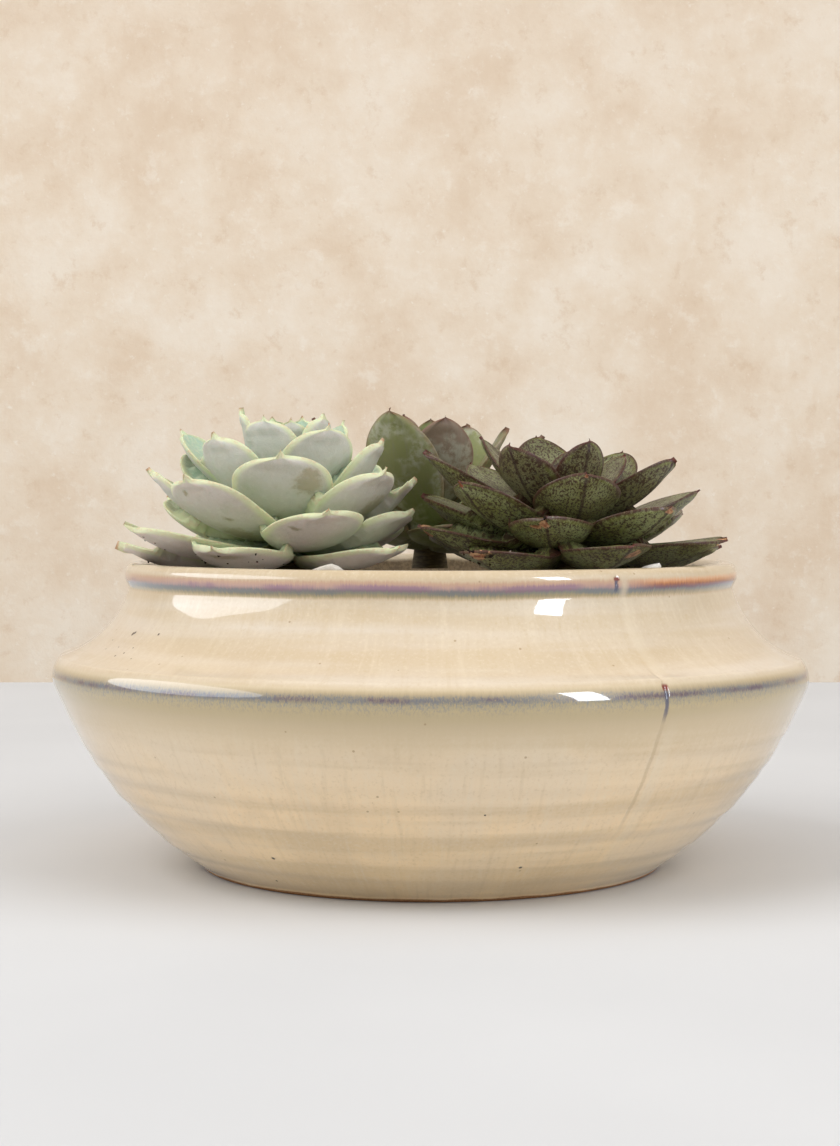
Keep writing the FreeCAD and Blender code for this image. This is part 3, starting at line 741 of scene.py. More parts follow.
# Single leaves that stand apart from the law: turn, lift and stretch.
HABITS = {
    "pale": {
        2: (0, -6, 1.1), 7: (-3, -18, 1.25), 8: (3, 0, 1.0), 10: (3, 0, 1.0), 12: (16, -6, 1.12),
        13: (0, -2, 1.0), 15: (-4, -6, 1.1), 18: (-4, 0, 1.12), 19: (-4, 4, 1.0), 21: (-2, -2, 1.0),
        23: (5, -3, 1.12), 26: (-12, -2, 0.92), 28: (-3, 0, 1.06), 29: (6, -2, 0.95),
    },
    "speckled": {
        0: (0, 0, 0.75), 1: (0, 0, 0.75), 2: (-6, -10, 0.9), 3: (0, -14, 1.05), 4: (0, -8, 0.78),
        5: (-8, -12, 1.0), 7: (2, -15, 1.05),
        8: (0, -12, 1.2), 10: (2, -8, 0.95), 12: (4, -10, 1.0), 13: (0, -4, 1.05), 15: (3, -7, 1.0),
        17: (0, -4, 1.0), 18: (4, -1, 0.9), 20: (0, -6, 1.04), 21: (-3, -3, 1.05), 23: (2, -1, 1.0),
    },
    "bronze": {
        3: (0, -18, 1.05), 5: (4, -4, 1.05), 7: (-6, -10, 1.25), 8: (8, -12, 1.15), 10: (2, 9, 1.15),
        13: (-14, -40, 0.95), 15: (16, -36, 1.0), 16: (-34, -36, 0.95),
    },
}
# Where the plane between two plants stands: its share of the way between them, and its turn.
CROWDING = {
    ("pale", "speckled"): (0.475, 2.0),
    ("pale", "bronze"): (0.55, 0.0),
    ("speckled", "bronze"): (0.55, 0.0),
}
CROWD_GAP = 0.5
REST_GAP = 0.6
RIM_MARGIN = 2.5
GOLDEN_ANGLE = 137.5
GRAVEL_CROWN, GRAVEL_EDGE, GRAVEL_CROWN_RADIUS = 97.6, 94.8, 45.0
RIM_HEIGHT = 100.6

# Looks only: thickness of the rounded margin, and length and breadth of the tip's point.
MARGIN_THICK = {"pale": 1.5, "speckled": 0.9, "bronze": 1.0}
POINT_LENGTH = {"pale": 0.06, "speckled": 0.025, "bronze": 0.02}
POINT_BREADTH = {"pale": 0.72, "speckled": 0.4, "bronze": 0.4}
# The visible leaves are a little blunter and thicker than the CAD ones.
SHAPE = {
    "pale": {"widest": 0.64, "blunt": 2.5, "point": 0.5},
    "speckled": {"widest": 0.56, "blunt": 2.3, "point": 0.72, "keel": 0.55},
    "bronze": {"blunt": 2.0, "point": 0.7},
}
FATTER = {"pale": 1.1, "speckled": 1.6, "bronze": 1.1}
# Leaves whose tone is set: 0 olive or green, 1 purple.
TONES = {("bronze", 7): 1.0, ("bronze", 5): 0.9, ("bronze", 10): 0.22}

SETTLE_STEPS = 80
ALONG_COUNT, AROUND_COUNT = 44, 36
# How much closer the rings of a leaf lie at its tip, and how sharply its body meets its point.
TIP_CROWDING = 1.35
POINT_BLEND = 1.7
# Places on different leaves lie this far apart in what their paint sees.
FLAT_STEP = 31.0
# How far a leaf is looked for inside an older one, and the gap left between them.
PRESS_REACH, PRESS_GAP = 3.0, 0.12
LEAF_SEED, PLUG_SEED, CRUMB_SEED, GRAVEL_SEED = 11, 40, 70, 5


def leaf_curl(trait, age):
    """How a leaf's bend changes from the youngest, age 0, to the oldest, age 1."""
    if age < 0.5:
        return mix(trait["bend_inner"], 1.0, age / 0.5)
    return mix(1.0, trait["bend_outer"], age / 0.5 - 1)


def leaf_habit(plant, index):
    """A leaf's shape and place by the plant's law, before it settles."""
    trait = dict(PLANT_TRAITS[plant])
    age = index / (trait["count"] - 1)
    grown = min(1.0, age / trait["full_at"])
    turn, lift, stretch = HABITS[plant].get(index, (0.0, 0.0, 1.0))
    steepness = (1 - age) ** trait["rise_power"]
    trait.update(
        plant=plant,
        index=index,
        age=age,
        azimuth=trait["phase"] + trait["hand"] * GOLDEN_ANGLE * index + turn,
        rise=mix(trait["rise_outer"], trait["rise_inner"], steepness) + lift,
        length=mix(trait["length_inner"], trait["length_outer"], age ** trait["length_power"]) * stretch,
        width=trait["width"] * mix(trait["width_inner"], 1.0, grown**0.8),
        thick=trait["thick"] * mix(trait["thick_inner"], 1.0, grown),
        base=mix(trait["base_top"], trait["base_low"], age),
        bend=trait["bend"] * leaf_curl(trait, age),
    )
    return trait


def half_width(leaf, along):
    """Share of the leaf's half width, for an array of places along it."""
    swelling = np.sin(math.pi / 2 * np.minimum(1.0, along / leaf["widest"])) ** leaf["swell"]
    beyond = np.clip((along - leaf["widest"]) / (1 - leaf["widest"]), 0.0, 1.0)
    taper = (1 - beyond ** leaf["blunt"]) ** leaf["point"]
    return np.where(along < leaf["widest"], mix(leaf["foot"], 1.0, swelling), taper)


def leaf_frame(leaf, along):
    """Outward and upward place of the leaf's middle line, and its slope."""
    bend = math.radians(leaf["bend"])
    start = math.radians(leaf["rise"]) - bend / 2
    slope = start + bend * along
    radius = leaf["length"] / (2 * math.sin(bend / 2))
    out = leaf["root"] + radius * (np.sin(slope) - math.sin(start))
    up = leaf["base"] - radius * (np.cos(slope) - math.cos(start))
    return out, up, slope


def leaf_place(leaf, along, across, above):
    """Points for arrays of places along, across and above the leaf's middle line."""
    out, up, slope = leaf_frame(leaf, along)
    turn = math.radians(leaf["azimuth"])
    away = out - above * np.sin(slope)
    return np.stack([
        leaf["x"] + away * math.sin(turn) + across * math.cos(turn),
        leaf["y"] - away * math.cos(turn) + across * math.sin(turn),
        up + above * np.cos(slope),
    ], axis=-1)


def leaf_thickness(leaf, along):
    fullness = mix(0.75, 1.0, np.minimum(1.0, along / 0.5))
    return leaf["thick"] * fullness * (1 - np.maximum(0.0, along / 0.5 - 1) ** 2.2)


def leaf_edge(leaf, along, half):
    return leaf["cup"] * half * np.minimum(1.0, 0.25 + along / 0.4)


def leaf_points(leaf):
    """The few points that settling looks at: both edges and the belly."""
    along = np.linspace(0.0, 1.0, 13)
    half = leaf["width"] / 2 * half_width(leaf, along)
    edge = leaf_edge(leaf, along, half)
    belly = -0.6 * leaf_thickness(leaf, along)
    sides = [leaf_place(leaf, along, half * side, edge) for side in (-1, 1)]
    return np.concatenate([*sides, leaf_place(leaf, along, 0.0 * along, belly)])


def crowd_planes(plant):
    """Upright planes that keep a plant's leaves off its neighbours: normal and distance."""
    planes = []
    for (first, second), (share, turn) in CROWDING.items():
        if plant not in (first, second):
            continue
        near, far = np.array(STEM_PLACES[first]), np.array(STEM_PLACES[second])
        ahead = (far - near) / np.linalg.norm(far - near)
        cosine, sine = math.cos(math.radians(turn)), math.sin(math.radians(turn))
        normal = np.array((ahead[0] * cosine - ahead[1] * sine, ahead[0] * sine + ahead[1] * cosine))
        facing = normal if plant == first else -normal
        planes.append((facing, facing @ mix(near, far, share) - CROWD_GAP))
    return planes


def gravel_height(out):
    """Height of the gravel, which is a little higher in the middle of the bowl."""
    share = np.clip((out - GRAVEL_CROWN_RADIUS) / (INNER_NECK - GRAVEL_CROWN_RADIUS), 0.0, None)
    return mix(GRAVEL_CROWN, GRAVEL_EDGE, share)


def leaf_sink(leaf):
    """How far a leaf reaches below the gravel or the rim; above 0 it has to rise."""
    spots = leaf_points(leaf)
    out = np.hypot(spots[:, 0], spots[:, 1])
    ground = np.where(out > INNER_NECK - RIM_MARGIN, RIM_HEIGHT, gravel_height(out)) + REST_GAP
    return (ground - spots[:, 2]).max()


def settle(leaf):
    """A crowded leaf stays shorter and stands up; one that would sink lies higher."""
    planes = crowd_planes(leaf["plant"])
    for _ in range(SETTLE_STEPS):
        spots = leaf_points(leaf)[:, :2]
        if max((spots @ normal).max() - distance for normal, distance in planes) <= 0:
            break
        leaf["length"] *= 0.985
        leaf["rise"] += 0.8
    for _ in range(SETTLE_STEPS):
        if leaf_sink(leaf) <= 0:
            break
        leaf["rise"] += 0.4
        leaf["bend"] *= 0.97
    return leaf


def blade(leaf, chance):
    """The finished leaf's points as rings from foot to tip, and the values it is painted by."""
    plant, index = leaf["plant"], leaf["index"]
    share = np.linspace(0.0, 1.0, ALONG_COUNT)
    along = (1 - (1 - share) ** TIP_CROWDING)[:, None]
    angle = (2 * math.pi * np.arange(AROUND_COUNT) / AROUND_COUNT)[None, :]
    across_share, side = np.cos(angle), np.sin(angle)
    edge_share = np.abs(across_share)

    # The body of the leaf ends a little before its tip; a small point carries on.
    body = np.minimum(1.0, along / (1 - POINT_LENGTH[plant]))
    leaf = dict(leaf, thick=leaf["thick"] * FATTER[plant], **SHAPE[plant])
    half_body = leaf["width"] / 2 * half_width(leaf, body)
    to_tip = (1 - along) * leaf["length"]
    half_point = POINT_BREADTH[plant] * to_tip * smooth(to_tip, 7.0, 1.5)
    half = (half_body**POINT_BLEND + half_point**POINT_BLEND) ** (1 / POINT_BLEND)

    # The section: a hollow upper side, a round or keeled lower side and a plump margin.
    thick = leaf_thickness(leaf, body) + 0.8 * half_point
    edge = leaf_edge(leaf, along, half)
    hollow, belly = 0.4 * thick, -0.6 * thick
    bow = mix(belly, (edge + belly) / 2, leaf["keel"])
    middle_share = 1 - edge_share
    upper = edge * edge_share**2 + hollow * (1 - edge_share**2)
    lower = middle_share**2 * belly + 2 * edge_share * middle_share * bow + edge_share**2 * edge
    margin = np.minimum(MARGIN_THICK[plant] * leaf["width"] / PLANT_TRAITS[plant]["width"], half * 0.5)
    plump = 2 * margin * edge_share**2 * np.abs(side) * smooth(along, -0.1, 0.25)
    above = np.where(side > 0, upper + 0.3 * plump, lower - 0.7 * plump)

    # No two leaves are alike: the edges wave, and the blade leans to one side.
    phase, lean, wave = chance.uniform(0, 2 * math.pi), chance.normal(0, 0.5), chance.uniform(0.15, 0.5)
    grow = smooth(along, 0.1, 0.7)
    above = above + across_share * grow * (wave * np.sin(7 * along + phase) + lean)
    above = above + grow * 0.25 * np.sin(3 * math.pi * across_share + phase) * edge_share
    across = half * across_share + 0.4 * lean * along**2
    points = leaf_place(leaf, along, across, above)

    full = np.ones_like(points[..., 0])
    values = {
        "along": along * full,
        "margin": half * (1 - edge_share),
        "under": smooth(-side, -0.05, 0.05) * full,
        "to_tip": to_tip * full,
        "keel": half * edge_share,
        "tone": TONES.get((plant, index), chance.uniform(0, 1)) * full,
        "age": leaf["age"] * full,
        "scar": scar_share(plant, index, along, across_share) * full,
    }
    flat = np.stack([across, full * along * leaf["length"], full * FLAT_STEP * index], axis=-1)
    return points, values, flat


# Dry brown marks: leaf, place along it, place across it (-1 to 1), size in both.
SCARS = {
    "pale": (
        (13, 0.72, 0.55, 0.10, 0.30), (13, 0.80, 0.70, 0.06, 0.18), (16, 0.62, 0.35, 0.14, 0.35),
        (18, 0.86, -0.35, 0.03, 0.10), (18, 0.62, 0.30, 0.03, 0.08), (18, 0.40, 0.1, 0.12, 0.35),
        (21, 0.80, -0.60, 0.02, 0.14), (26, 0.85, 0.1, 0.03, 0.5), (23, 0.97, 0.0, 0.05, 0.6),
        (9, 0.7, 0.4, 0.05, 0.2), (22, 0.6, -0.3, 0.06, 0.2), (25, 0.75, 0.2, 0.05, 0.25),
    ),
    "speckled": (
        (18, 0.93, -0.1, 0.04, 0.35), (18, 0.88, -0.45, 0.03, 0.25), (15, 0.97, 0.2, 0.04, 0.6),
        (23, 0.86, 0.35, 0.05, 0.35), (21, 0.93, -0.1, 0.06, 0.5), (20, 0.97, 0.0, 0.05, 0.6),
        (26, 0.95, 0.2, 0.06, 0.6), (13, 0.97, 0.0, 0.03, 0.5), (10, 0.97, 0.0, 0.02, 0.4),
    ),
    "bronze": ((8, 0.6, 0.3, 0.05, 0.2), (12, 0.7, -0.3, 0.05, 0.2)),
}


def scar_share(plant, index, along, across):
    """How dry and brown a leaf is, from 0 to 1, at places along and across it."""
    total = 0.0 * along * across
    for leaf, place, side, long, wide in SCARS[plant]:
        if leaf == index:
            spot = np.exp(-(((along - place) / long) ** 2) - ((across - side) / wide) ** 2)
            total = np.maximum(total, spot)
    return total


def blade_faces():
    """Faces of one leaf: rings, a closed foot and a pointed tip."""
    faces = [face[::-1] for face in grid_faces(ALONG_COUNT, AROUND_COUNT)]
    faces.append(tuple(range(AROUND_COUNT)))
    return faces


def press_apart(points, older):
    """Moves the points of a leaf that lie in an older one out to its surface."""
    low, high = points.min(0), points.max(0)
    for tree, other_low, other_high in older:
        if (low > other_high).any() or (high < other_low).any():
            continue
        near = np.flatnonzero(((points > other_low) & (points < other_high)).all(1))
        for number in near:
            spot, normal = tree.find_nearest(Vector(points[number]), PRESS_REACH)[:2]
            if spot is None:
                continue
            if (Vector(points[number]) - spot).dot(normal) < PRESS_GAP:
                points[number] = spot + normal * PRESS_GAP
    return points


def grow_rosette(plant):
    """Every leaf of a plant: a list of (points, values, flat places), youngest first."""
    chance = np.random.default_rng(PLANTS.index(plant) + LEAF_SEED)
    triangles = [(f[0], f[k], f[k + 1]) for f in blade_faces() for k in range(1, len(f) - 1)]
    older, leaves = [], []
    planes = crowd_planes(plant)
    for index in range(PLANT_TRAITS[plant]["count"]):
        rings, values, flat = blade(settle(leaf_habit(plant, index)), chance)
        points = rings.reshape(-1, 3).copy()
        for normal, distance in planes:
            beyond = np.maximum(0.0, points[:, :2] @ normal - distance)
            points[:, :2] -= beyond[:, None] * normal
        points = press_apart(points, older)
        older.append((BVHTree.FromPolygons(points.tolist(), triangles), points.min(0), points.max(0)))
        leaves.append((points, values, flat))
    return leaves


def make_leaf_rows(plant, leaves, material):
    """One skin for each row of leaves that is a node of the CAD model."""
    faces = blade_faces()
    first = 0
    for row, share in LEAF_ROWS:
        last = round(len(leaves) * share)
        group = leaves[first:last]
        size = len(group[0][0])
        points = np.concatenate([leaf[0] for leaf in group])
        all_faces = [tuple(v + k * size for v in face) for k in range(len(group)) for face in faces]
        name = "%s_%s" % (plant, row)
        thing = add_mesh(name + "_skin", points, all_faces)
        for word in group[0][1]:
            add_values(thing, word, np.concatenate([leaf[1][word].ravel() for leaf in group]))
        flat = thing.data.attributes.new("flat", "FLOAT_VECTOR", "POINT")
        flat.data.foreach_set("vector", np.concatenate([leaf[2].reshape(-1) for leaf in group]))
        ride_as(thing, material, plant + "_plant", plant + "_leaf", name)
        first = last


def leaf_words(paint):
    words = ("along", "margin", "under", "to_tip", "keel", "tone", "age", "scar")
    return {word: paint.vertex(word) for word in words}


def pale_paint():
    """Waxy grey-green leaves with a lilac bloom, light margins and pink tips."""
    paint = Paint(
        "pale_leaf", Roughness=0.55, Specular_IOR_Level=0.35,
        Subsurface_Weight=0.12, Subsurface_Scale=0.004,
    )
    leaf = leaf_words(paint)
    cloud = paint.noise(0.09, 3.0, 0.6)
    mottle = paint.noise(0.4, 5.0, 0.7)
    fine = paint.noise(2.2, 3.0, 0.7)
    outer = paint.range(leaf["age"], 0.2, 0.75)
    lilac = paint.mix(outer, rgb(200, 199, 190), rgb(206, 197, 188))
    green = paint.mix(outer, rgb(180, 190, 166), rgb(180, 180, 148))
    share = paint.add(paint.times(cloud, 0.9), paint.times(leaf["along"], 0.55))
    # The last layer paints the leaves darker green towards the foot: partly their own colour, partly
    # painted shade where the leaves crowd together.
    face = paint.coats(
        paint.mix(paint.range(share, 0.38, 0.78), green, lilac),
        (mottle, 0.5, 0.72, 0.5, (220, 216, 208)),
        (mottle, 0.48, 0.3, 0.35, (180, 176, 158)),
        (fine, 0.58, 0.72, 0.3, (226, 223, 216)),
        (leaf["along"], 0.52, 0.12, 0.8, (128, 142, 82)),
    )
    top = paint.mix(outer, rgb(172, 198, 176), rgb(164, 178, 138))
    top = paint.coats(top, (mottle, 0.4, 0.65, 1.0, (200, 212, 186)))
    edge = paint.range(paint.add(leaf["margin"], cloud), 3.1, 1.0)
    edge = paint.times(edge, paint.range(leaf["along"], 0.12, 0.5))
    blush = paint.times(paint.range(leaf["margin"], 0.9, 0.1), paint.range(mottle, 0.45, 0.62))
    tip = paint.add(leaf["to_tip"], leaf["tone"])
    ragged = paint.add(leaf["scar"], paint.sway(mottle, 1.3))
    scar = paint.range(ragged, 0.34, 0.75)
    face = paint.coats(
        paint.mix(leaf["under"], top, face),
        (edge, 0.8, (214, 220, 176)),
        (blush, 0.3, (188, 130, 100)),
        (tip, 1.3, 0.5, 0.7, (186, 122, 92)),
        (ragged, 0.15, 0.5, 0.38, (162, 154, 112)),
        (scar, 0.4, (150, 130, 92)),
    )
    relief = paint.relief((mottle, 0.25), (fine, 0.06), (paint.times(scar, -1.0), 0.25))
    return paint.finish(face, paint.range(mottle, 0.3, 0.7, 0.5, 0.68), relief)


def speckled_paint():
    """Grey-green leaves thick with small maroon dots and dashes, dark at the margins."""
    paint = Paint("speckled_leaf", Specular_IOR_Level=0.5, Subsurface_Weight=0.05, Subsurface_Scale=0.002)
    leaf = leaf_words(paint)
    flat = paint.vertex("flat", "Vector")
    cloud = paint.noise(0.1, 3.0, 0.6)
    mottle = paint.noise(0.5, 4.0, 0.6)
    dash = paint.noise(1.5, 3.0, 0.62, at=paint.stretch(1.0, 0.7, 1.0, at=flat))
    dot = paint.noise(2.8, 2.0, 0.6, at=paint.stretch(1.0, 0.85, 1.0, at=flat))
    near_edge = paint.times(paint.range(leaf["margin"], 4.0, 0.5), 0.05)
    crowd = paint.add(near_edge, paint.sway(cloud, -0.12))
    dots = paint.times(paint.range(paint.add(dot, crowd), 0.55, 0.6), 0.9)
    spots = paint.most(paint.range(paint.add(dash, crowd), 0.505, 0.545), dots)
    bright = paint.times(paint.band(leaf["margin"], 0.7, 1.8, 0.5), paint.range(cloud, 0.4, 0.55))
    beyond_foot = paint.range(leaf["along"], 0.25, 0.6)
    keel = paint.times(paint.range(leaf["keel"], 0.9, 0.2), leaf["under"], beyond_foot)
    tip = paint.add(leaf["to_tip"], leaf["tone"])
    # Painted shade in two layers: the upper faces are painted darker against the light from above, and
    # the leaves turn darker green towards the foot, partly their own colour and partly painted shade in
    # the heart of the rosette.
    face = paint.coats(
        paint.mix(leaf["under"], rgb(128, 134, 72), rgb(138, 142, 80)),
        (cloud, 0.4, 0.65, 1.0, (158, 164, 114)),
        (mottle, 0.5, 0.75, 0.4, (178, 184, 142)),
        (leaf["age"], 0.55, 0.15, 0.5, (124, 106, 90)),
        (leaf["along"], 0.45, 0.1, 0.7, (112, 126, 74)),
        (leaf["under"], 0.5, 0.0, 0.45, (96, 104, 72)),
        (spots, 0.88, (60, 30, 28)),
        (bright, 0.5, (132, 138, 70)),
        (leaf["margin"], 1.0, 0.25, 0.7, (78, 42, 34)),
        (keel, 0.75, (60, 36, 36)),
        (tip, 2.4, 0.9, 0.8, (96, 44, 36)),
    )
    ragged = paint.add(leaf["scar"], paint.sway(mottle, 1.5))
    scar = paint.range(ragged, 0.36, 0.55)
    dry = paint.mix(paint.range(mottle, 0.4, 0.6), rgb(150, 84, 52), rgb(206, 160, 118))
    face = paint.mix(scar, face, dry)
    relief = paint.relief((spots, 0.08), (mottle, 0.2), (scar, 0.3))
    return paint.finish(face, paint.range(mottle, 0.3, 0.7, 0.3, 0.46), relief)


def bronze_paint():
    """Olive to purple-brown leaves under a thin pale bloom, with brown-red margins."""
    paint = Paint("bronze_leaf", Specular_IOR_Level=0.4, Subsurface_Weight=0.05, Subsurface_Scale=0.002)
    leaf = leaf_words(paint)
    flat = paint.vertex("flat", "Vector")
    cloud = paint.noise(0.07, 3.0, 0.6)
    mottle = paint.noise(0.4, 5.0, 0.65)
    vein = paint.noise(0.9, 3.0, 0.6, at=paint.stretch(1.0, 0.12, 1.0, at=flat))
    bloom = paint.times(paint.range(cloud, 0.47, 0.58), paint.range(mottle, 0.34, 0.6))
    top = paint.times(paint.range(leaf["under"], 0.5, 0.0), leaf["tone"])
    ragged = paint.add(leaf["scar"], paint.sway(mottle, 1.3))
    face = paint.coats(
        paint.mix(leaf["tone"], rgb(134, 142, 88), rgb(132, 111, 98)),
        (leaf["along"], 0.55, 0.1, 1.0, (112, 118, 80)),
        (bloom, 0.68, (176, 174, 156)),
        (vein, 0.5, 0.7, 0.3, (132, 128, 112)),
        (top, 0.4, (116, 90, 78)),
        (leaf["margin"], 1.3, 0.3, 0.4, (122, 82, 62)),
        (leaf["to_tip"], 3.0, 0.8, 0.7, (104, 62, 50)),
        (ragged, 0.34, 0.6, 0.7, (130, 104, 74)),
    )
    return paint.finish(face, paint.range(mottle, 0.3, 0.7, 0.42, 0.6), paint.relief((mottle, 0.2)))


# ---------------------------------------------------------------- gravel, soil and roots

POCKET_RADIUS = 22.0
PLUG_RADIUS, PLUG_LOW_RADIUS = 21.4, 17.5
PLUG_BOTTOM, PLUG_SHOULDER = 46.0, 52.0
# The soil of a root ball ends below the stones that cover it.
PLUG_TOP = 93.6
STONES_DEPTH = 3.4
STEM_RADIUS = 6.5
PLUG_COLUMNS = 120
GRAVEL_FALL = 0.0335
BED_DROP = 4.2

# How grains are cut: steps of the ball they start from, facets, and how crisp their edges are.
STONE_CUT = (3, 7, 9)
CRUMB_CUT = (2, 5, 6)
# Stones on the soil: radii, big ones first, how many places are tried for each, and how much
# closer than touching two may lie.
STONE_SIZES = ((3.0, 3.9), (2.2, 2.8), (1.4, 1.9))
STONE_TRIES, STONE_PACKING = 2600, 0.86
PLUG_STONE_TRIES, PLUG_STONE_PACKING = 2400, 0.84
TOP_STONE_TRIES, TOP_STONE_GAP = 900, 3.0
# Two stones show over the rim at the front: place, radius and height of the top.
PEEKING_STONES = ((-31.5, -85.5, 3.1, 102.4), (66.0, -62.0, 3.0, 101.7))

ROOT_COUNT, THICK_ROOTS, ROOT_SIDES = 95, 26, 7
# A direction that no root follows, to build the sides of its tube from.
ANY_SIDE = (0.31, 0.17, 0.93)

# Leaves that carry crumbs: leaf, reach along it, reach across it, how many.
CRUMBS = {
    "pale": (
        (26, 0.35, 0.95, -0.9, 0.9, 34), (23, 0.3, 0.9, -0.8, 0.8, 30), (28, 0.4, 0.9, -0.6, 0.6, 10),
    ),
    "speckled": (
        (26, 0.75, 1.0, -0.9, 0.9, 26), (18, 0.9, 1.0, -0.8, 0.8, 6), (21, 0.85, 1.0, -0.5, 0.5, 5),
    ),
    "bronze": ((14, 0.3, 0.9, -0.8, 0.8, 8),),
}


def unit_ball(steps):
    """Points and faces of an icosphere of radius 1."""
    ball = bmesh.new()
    bmesh.ops.create_icosphere(ball, subdivisions=steps, radius=1.0)
    points = np.array([v.co[:] for v in ball.verts])
    faces = [tuple(v.index for v in face.verts) for face in ball.faces]
    ball.free()
    return points, faces


def stone_shape(ball, chance, facets, crispness):
    """A crushed stone: the ball cut by soft-edged flat facets."""
    normals = chance.normal(size=(facets, 3))
    normals /= np.linalg.norm(normals, axis=1)[:, None]
    normals = np.concatenate([normals, -normals])
    distances = chance.uniform(0.62, 1.0, len(normals))
    reach = np.maximum(0.0, ball @ normals.T) / distances
    radius = 1 / (reach**crispness).sum(1) ** (1 / crispness)
    return ball * radius[:, None]


def turn_matrix(chance):
    """A random turn."""
    matrix, _ = np.linalg.qr(chance.normal(size=(3, 3)))
    return matrix if np.linalg.det(matrix) > 0 else -matrix


def random_place(chance, reach):
    """A random place, evenly spread over a circle: how far out it is, x and y."""
    out = math.sqrt(chance.uniform(0, 1)) * reach
    turn = chance.uniform(0, 2 * math.pi)
    return out, out * math.cos(turn), out * math.sin(turn)


def apart(x, y, radius, spots, share=1.0, gap=0.0):
    """Whether a stone keeps clear of the others; a share below 1 lets them overlap a little."""
    return all(math.hypot(x - a, y - b) >= share * (radius + c) + gap for a, b, c in spots)


class Heap:
    """Many loose grains gathered into one object, each with a tone of its own."""

    def __init__(self, steps, facets, crispness, chance):
        self.ball, self.ball_faces = unit_ball(steps)
        self.facets, self.crispness, self.chance = facets, crispness, chance
        self.points, self.faces, self.tones = [], [], []

    def shape(self, radius, flatness=0.75):
        grain = stone_shape(self.ball, self.chance, self.facets, self.crispness)
        grain = grain * np.array((1.0, self.chance.uniform(0.75, 1.0), flatness)) * radius
        any_turn = turn_matrix(self.chance)
        return grain @ any_turn if flatness > 0.9 else grain @ self.tilt()

    def tilt(self):
        """A grain lies nearly flat: any turn about the upright, a small lean."""
        turn = self.chance.uniform(0, 2 * math.pi)
        lean = self.chance.normal(0, 0.3)
        cosine, sine = math.cos(turn), math.sin(turn)
        upright = np.array(((cosine, sine, 0), (-sine, cosine, 0), (0, 0, 1)))
        cosine, sine = math.cos(lean), math.sin(lean)
        level = np.array(((1, 0, 0), (0, cosine, sine), (0, -sine, cosine)))
        return upright @ level

    def put(self, grain, x=0.0, y=0.0, top=None):
        """Adds a grain; with a top, it is first moved to a place and reaches that height."""
        if top is not None:
            grain = grain + np.array((x, y, top - grain[:, 2].max()))
        first = len(self.points) * len(self.ball)
        self.points.append(grain)
        self.faces += [tuple(v + first for v in face) for face in self.ball_faces]
        self.tones.append(np.full(len(grain), self.chance.uniform(0, 1)))

    def object(self, name):
        thing = add_mesh(name, np.concatenate(self.points), self.faces)
        add_values(thing, "tone", np.concatenate(self.tones))
        return thing


def stone_ceiling(y):
    """How high stones may reach: the gravel falls a little from the front to the back."""
    return RIM_HEIGHT - 0.5 - GRAVEL_FALL * (y + INNER_NECK)


def stone_level(x, y):
    """The height that the stones lie at, at a place in the bowl."""
    return min(gravel_height(math.hypot(x, y)), stone_ceiling(y))


def nearest_stem(x, y):
    """Distance from a place on the gravel to the nearest stem."""
    return min(math.hypot(x - stem_x, y - stem_y) for stem_x, stem_y in STEM_PLACES.values())


def gravel_spots(chance):
    """Where stones lie on the soil: places and radii, big ones first."""
    spots = []
    for radius_low, radius_high in STONE_SIZES:
        for _ in range(STONE_TRIES):
            radius = chance.uniform(radius_low, radius_high)
            _, x, y = random_place(chance, INNER_NECK - radius * 0.95)
            if nearest_stem(x, y) >= POCKET_RADIUS + radius and apart(x, y, radius, spots, STONE_PACKING):
                spots.append((x, y, radius))
    return spots


def make_gravel(leaf_spots, material):
    """Loose white stones over a bed, in three fields so that no object is too heavy."""
    chance = np.random.default_rng(GRAVEL_SEED)
    heaps = [Heap(*STONE_CUT, chance) for _ in range(3)]
    for x, y, radius in gravel_spots(chance):
        heap = heaps[int((math.atan2(y, x) / (2 * math.pi) % 1.0) * 3)]
        grain = heap.shape(radius)
        heap.put(grain, x, y, stone_level(x, y) + chance.uniform(-2.2, -0.4))
    place_top_stones(heaps[0], leaf_spots, chance)
    for number, heap in enumerate(heaps):
        covered = ("gravel_dressing",) if number == 0 else ()
        ride_as(heap.object("gravel_stones_%d" % (number + 1)), material, "pot", "white_gravel", *covered)


def place_top_stones(heap, leaf_spots, chance):
    """Stones that lie on the others, where no leaf is in the way."""
    placed = []
    for x, y, radius, top in PEEKING_STONES:
        heap.put(heap.shape(radius, 0.95), x, y, top)
        placed.append((x, y, radius))
    for _ in range(TOP_STONE_TRIES):
        radius = chance.uniform(1.8, 3.2)
        out, x, y = random_place(chance, INNER_NECK - radius * 1.1)
        middle = gravel_height(out) + radius * 0.55
        if nearest_stem(x, y) < POCKET_RADIUS + radius:
            continue
        if leaf_spots.find((x, y, middle))[2] < radius * 1.15 + 0.8:
            continue
        if not apart(x, y, radius, placed, gap=TOP_STONE_GAP):
            continue
        grain = heap.shape(radius)
        middle = min(middle, stone_ceiling(y) - grain[:, 2].max())
        heap.put(grain + np.array((x, y, middle)))
        placed.append((x, y, radius))


def make_gravel_bed(material):
    """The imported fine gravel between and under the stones: the CAD layer, a little lower."""
    node = frame["nodes"]["gravel_dressing"]
    mesh = node.data.copy()
    places = np.zeros(len(mesh.vertices) * 3)
    mesh.vertices.foreach_get("co", places)
    places = places.reshape(-1, 3)
    places[places[:, 2] > (SOIL_HEIGHT + 1) * MM, 2] -= BED_DROP * MM
    mesh.vertices.foreach_set("co", places.ravel())
    mesh.update()
    thing = bpy.data.objects.new("gravel_bed", mesh)
    bpy.context.scene.collection.objects.link(thing)
    ride_as(thing, material, "pot", "white_gravel")


def lumpy(azimuth, height, phase):
    """Slow and quick lumps of a soil surface, from 0 to about 1."""
    slow = np.sin(3 * azimuth + height / 6 + phase) + np.sin(5 * azimuth - height / 9 + 2 * phase)
    quick = np.sin(17 * azimuth + height * 0.9 + phase) * np.sin(11 * azimuth - height * 1.3)
    return 0.5 + 0.15 * slow + 0.2 * quick


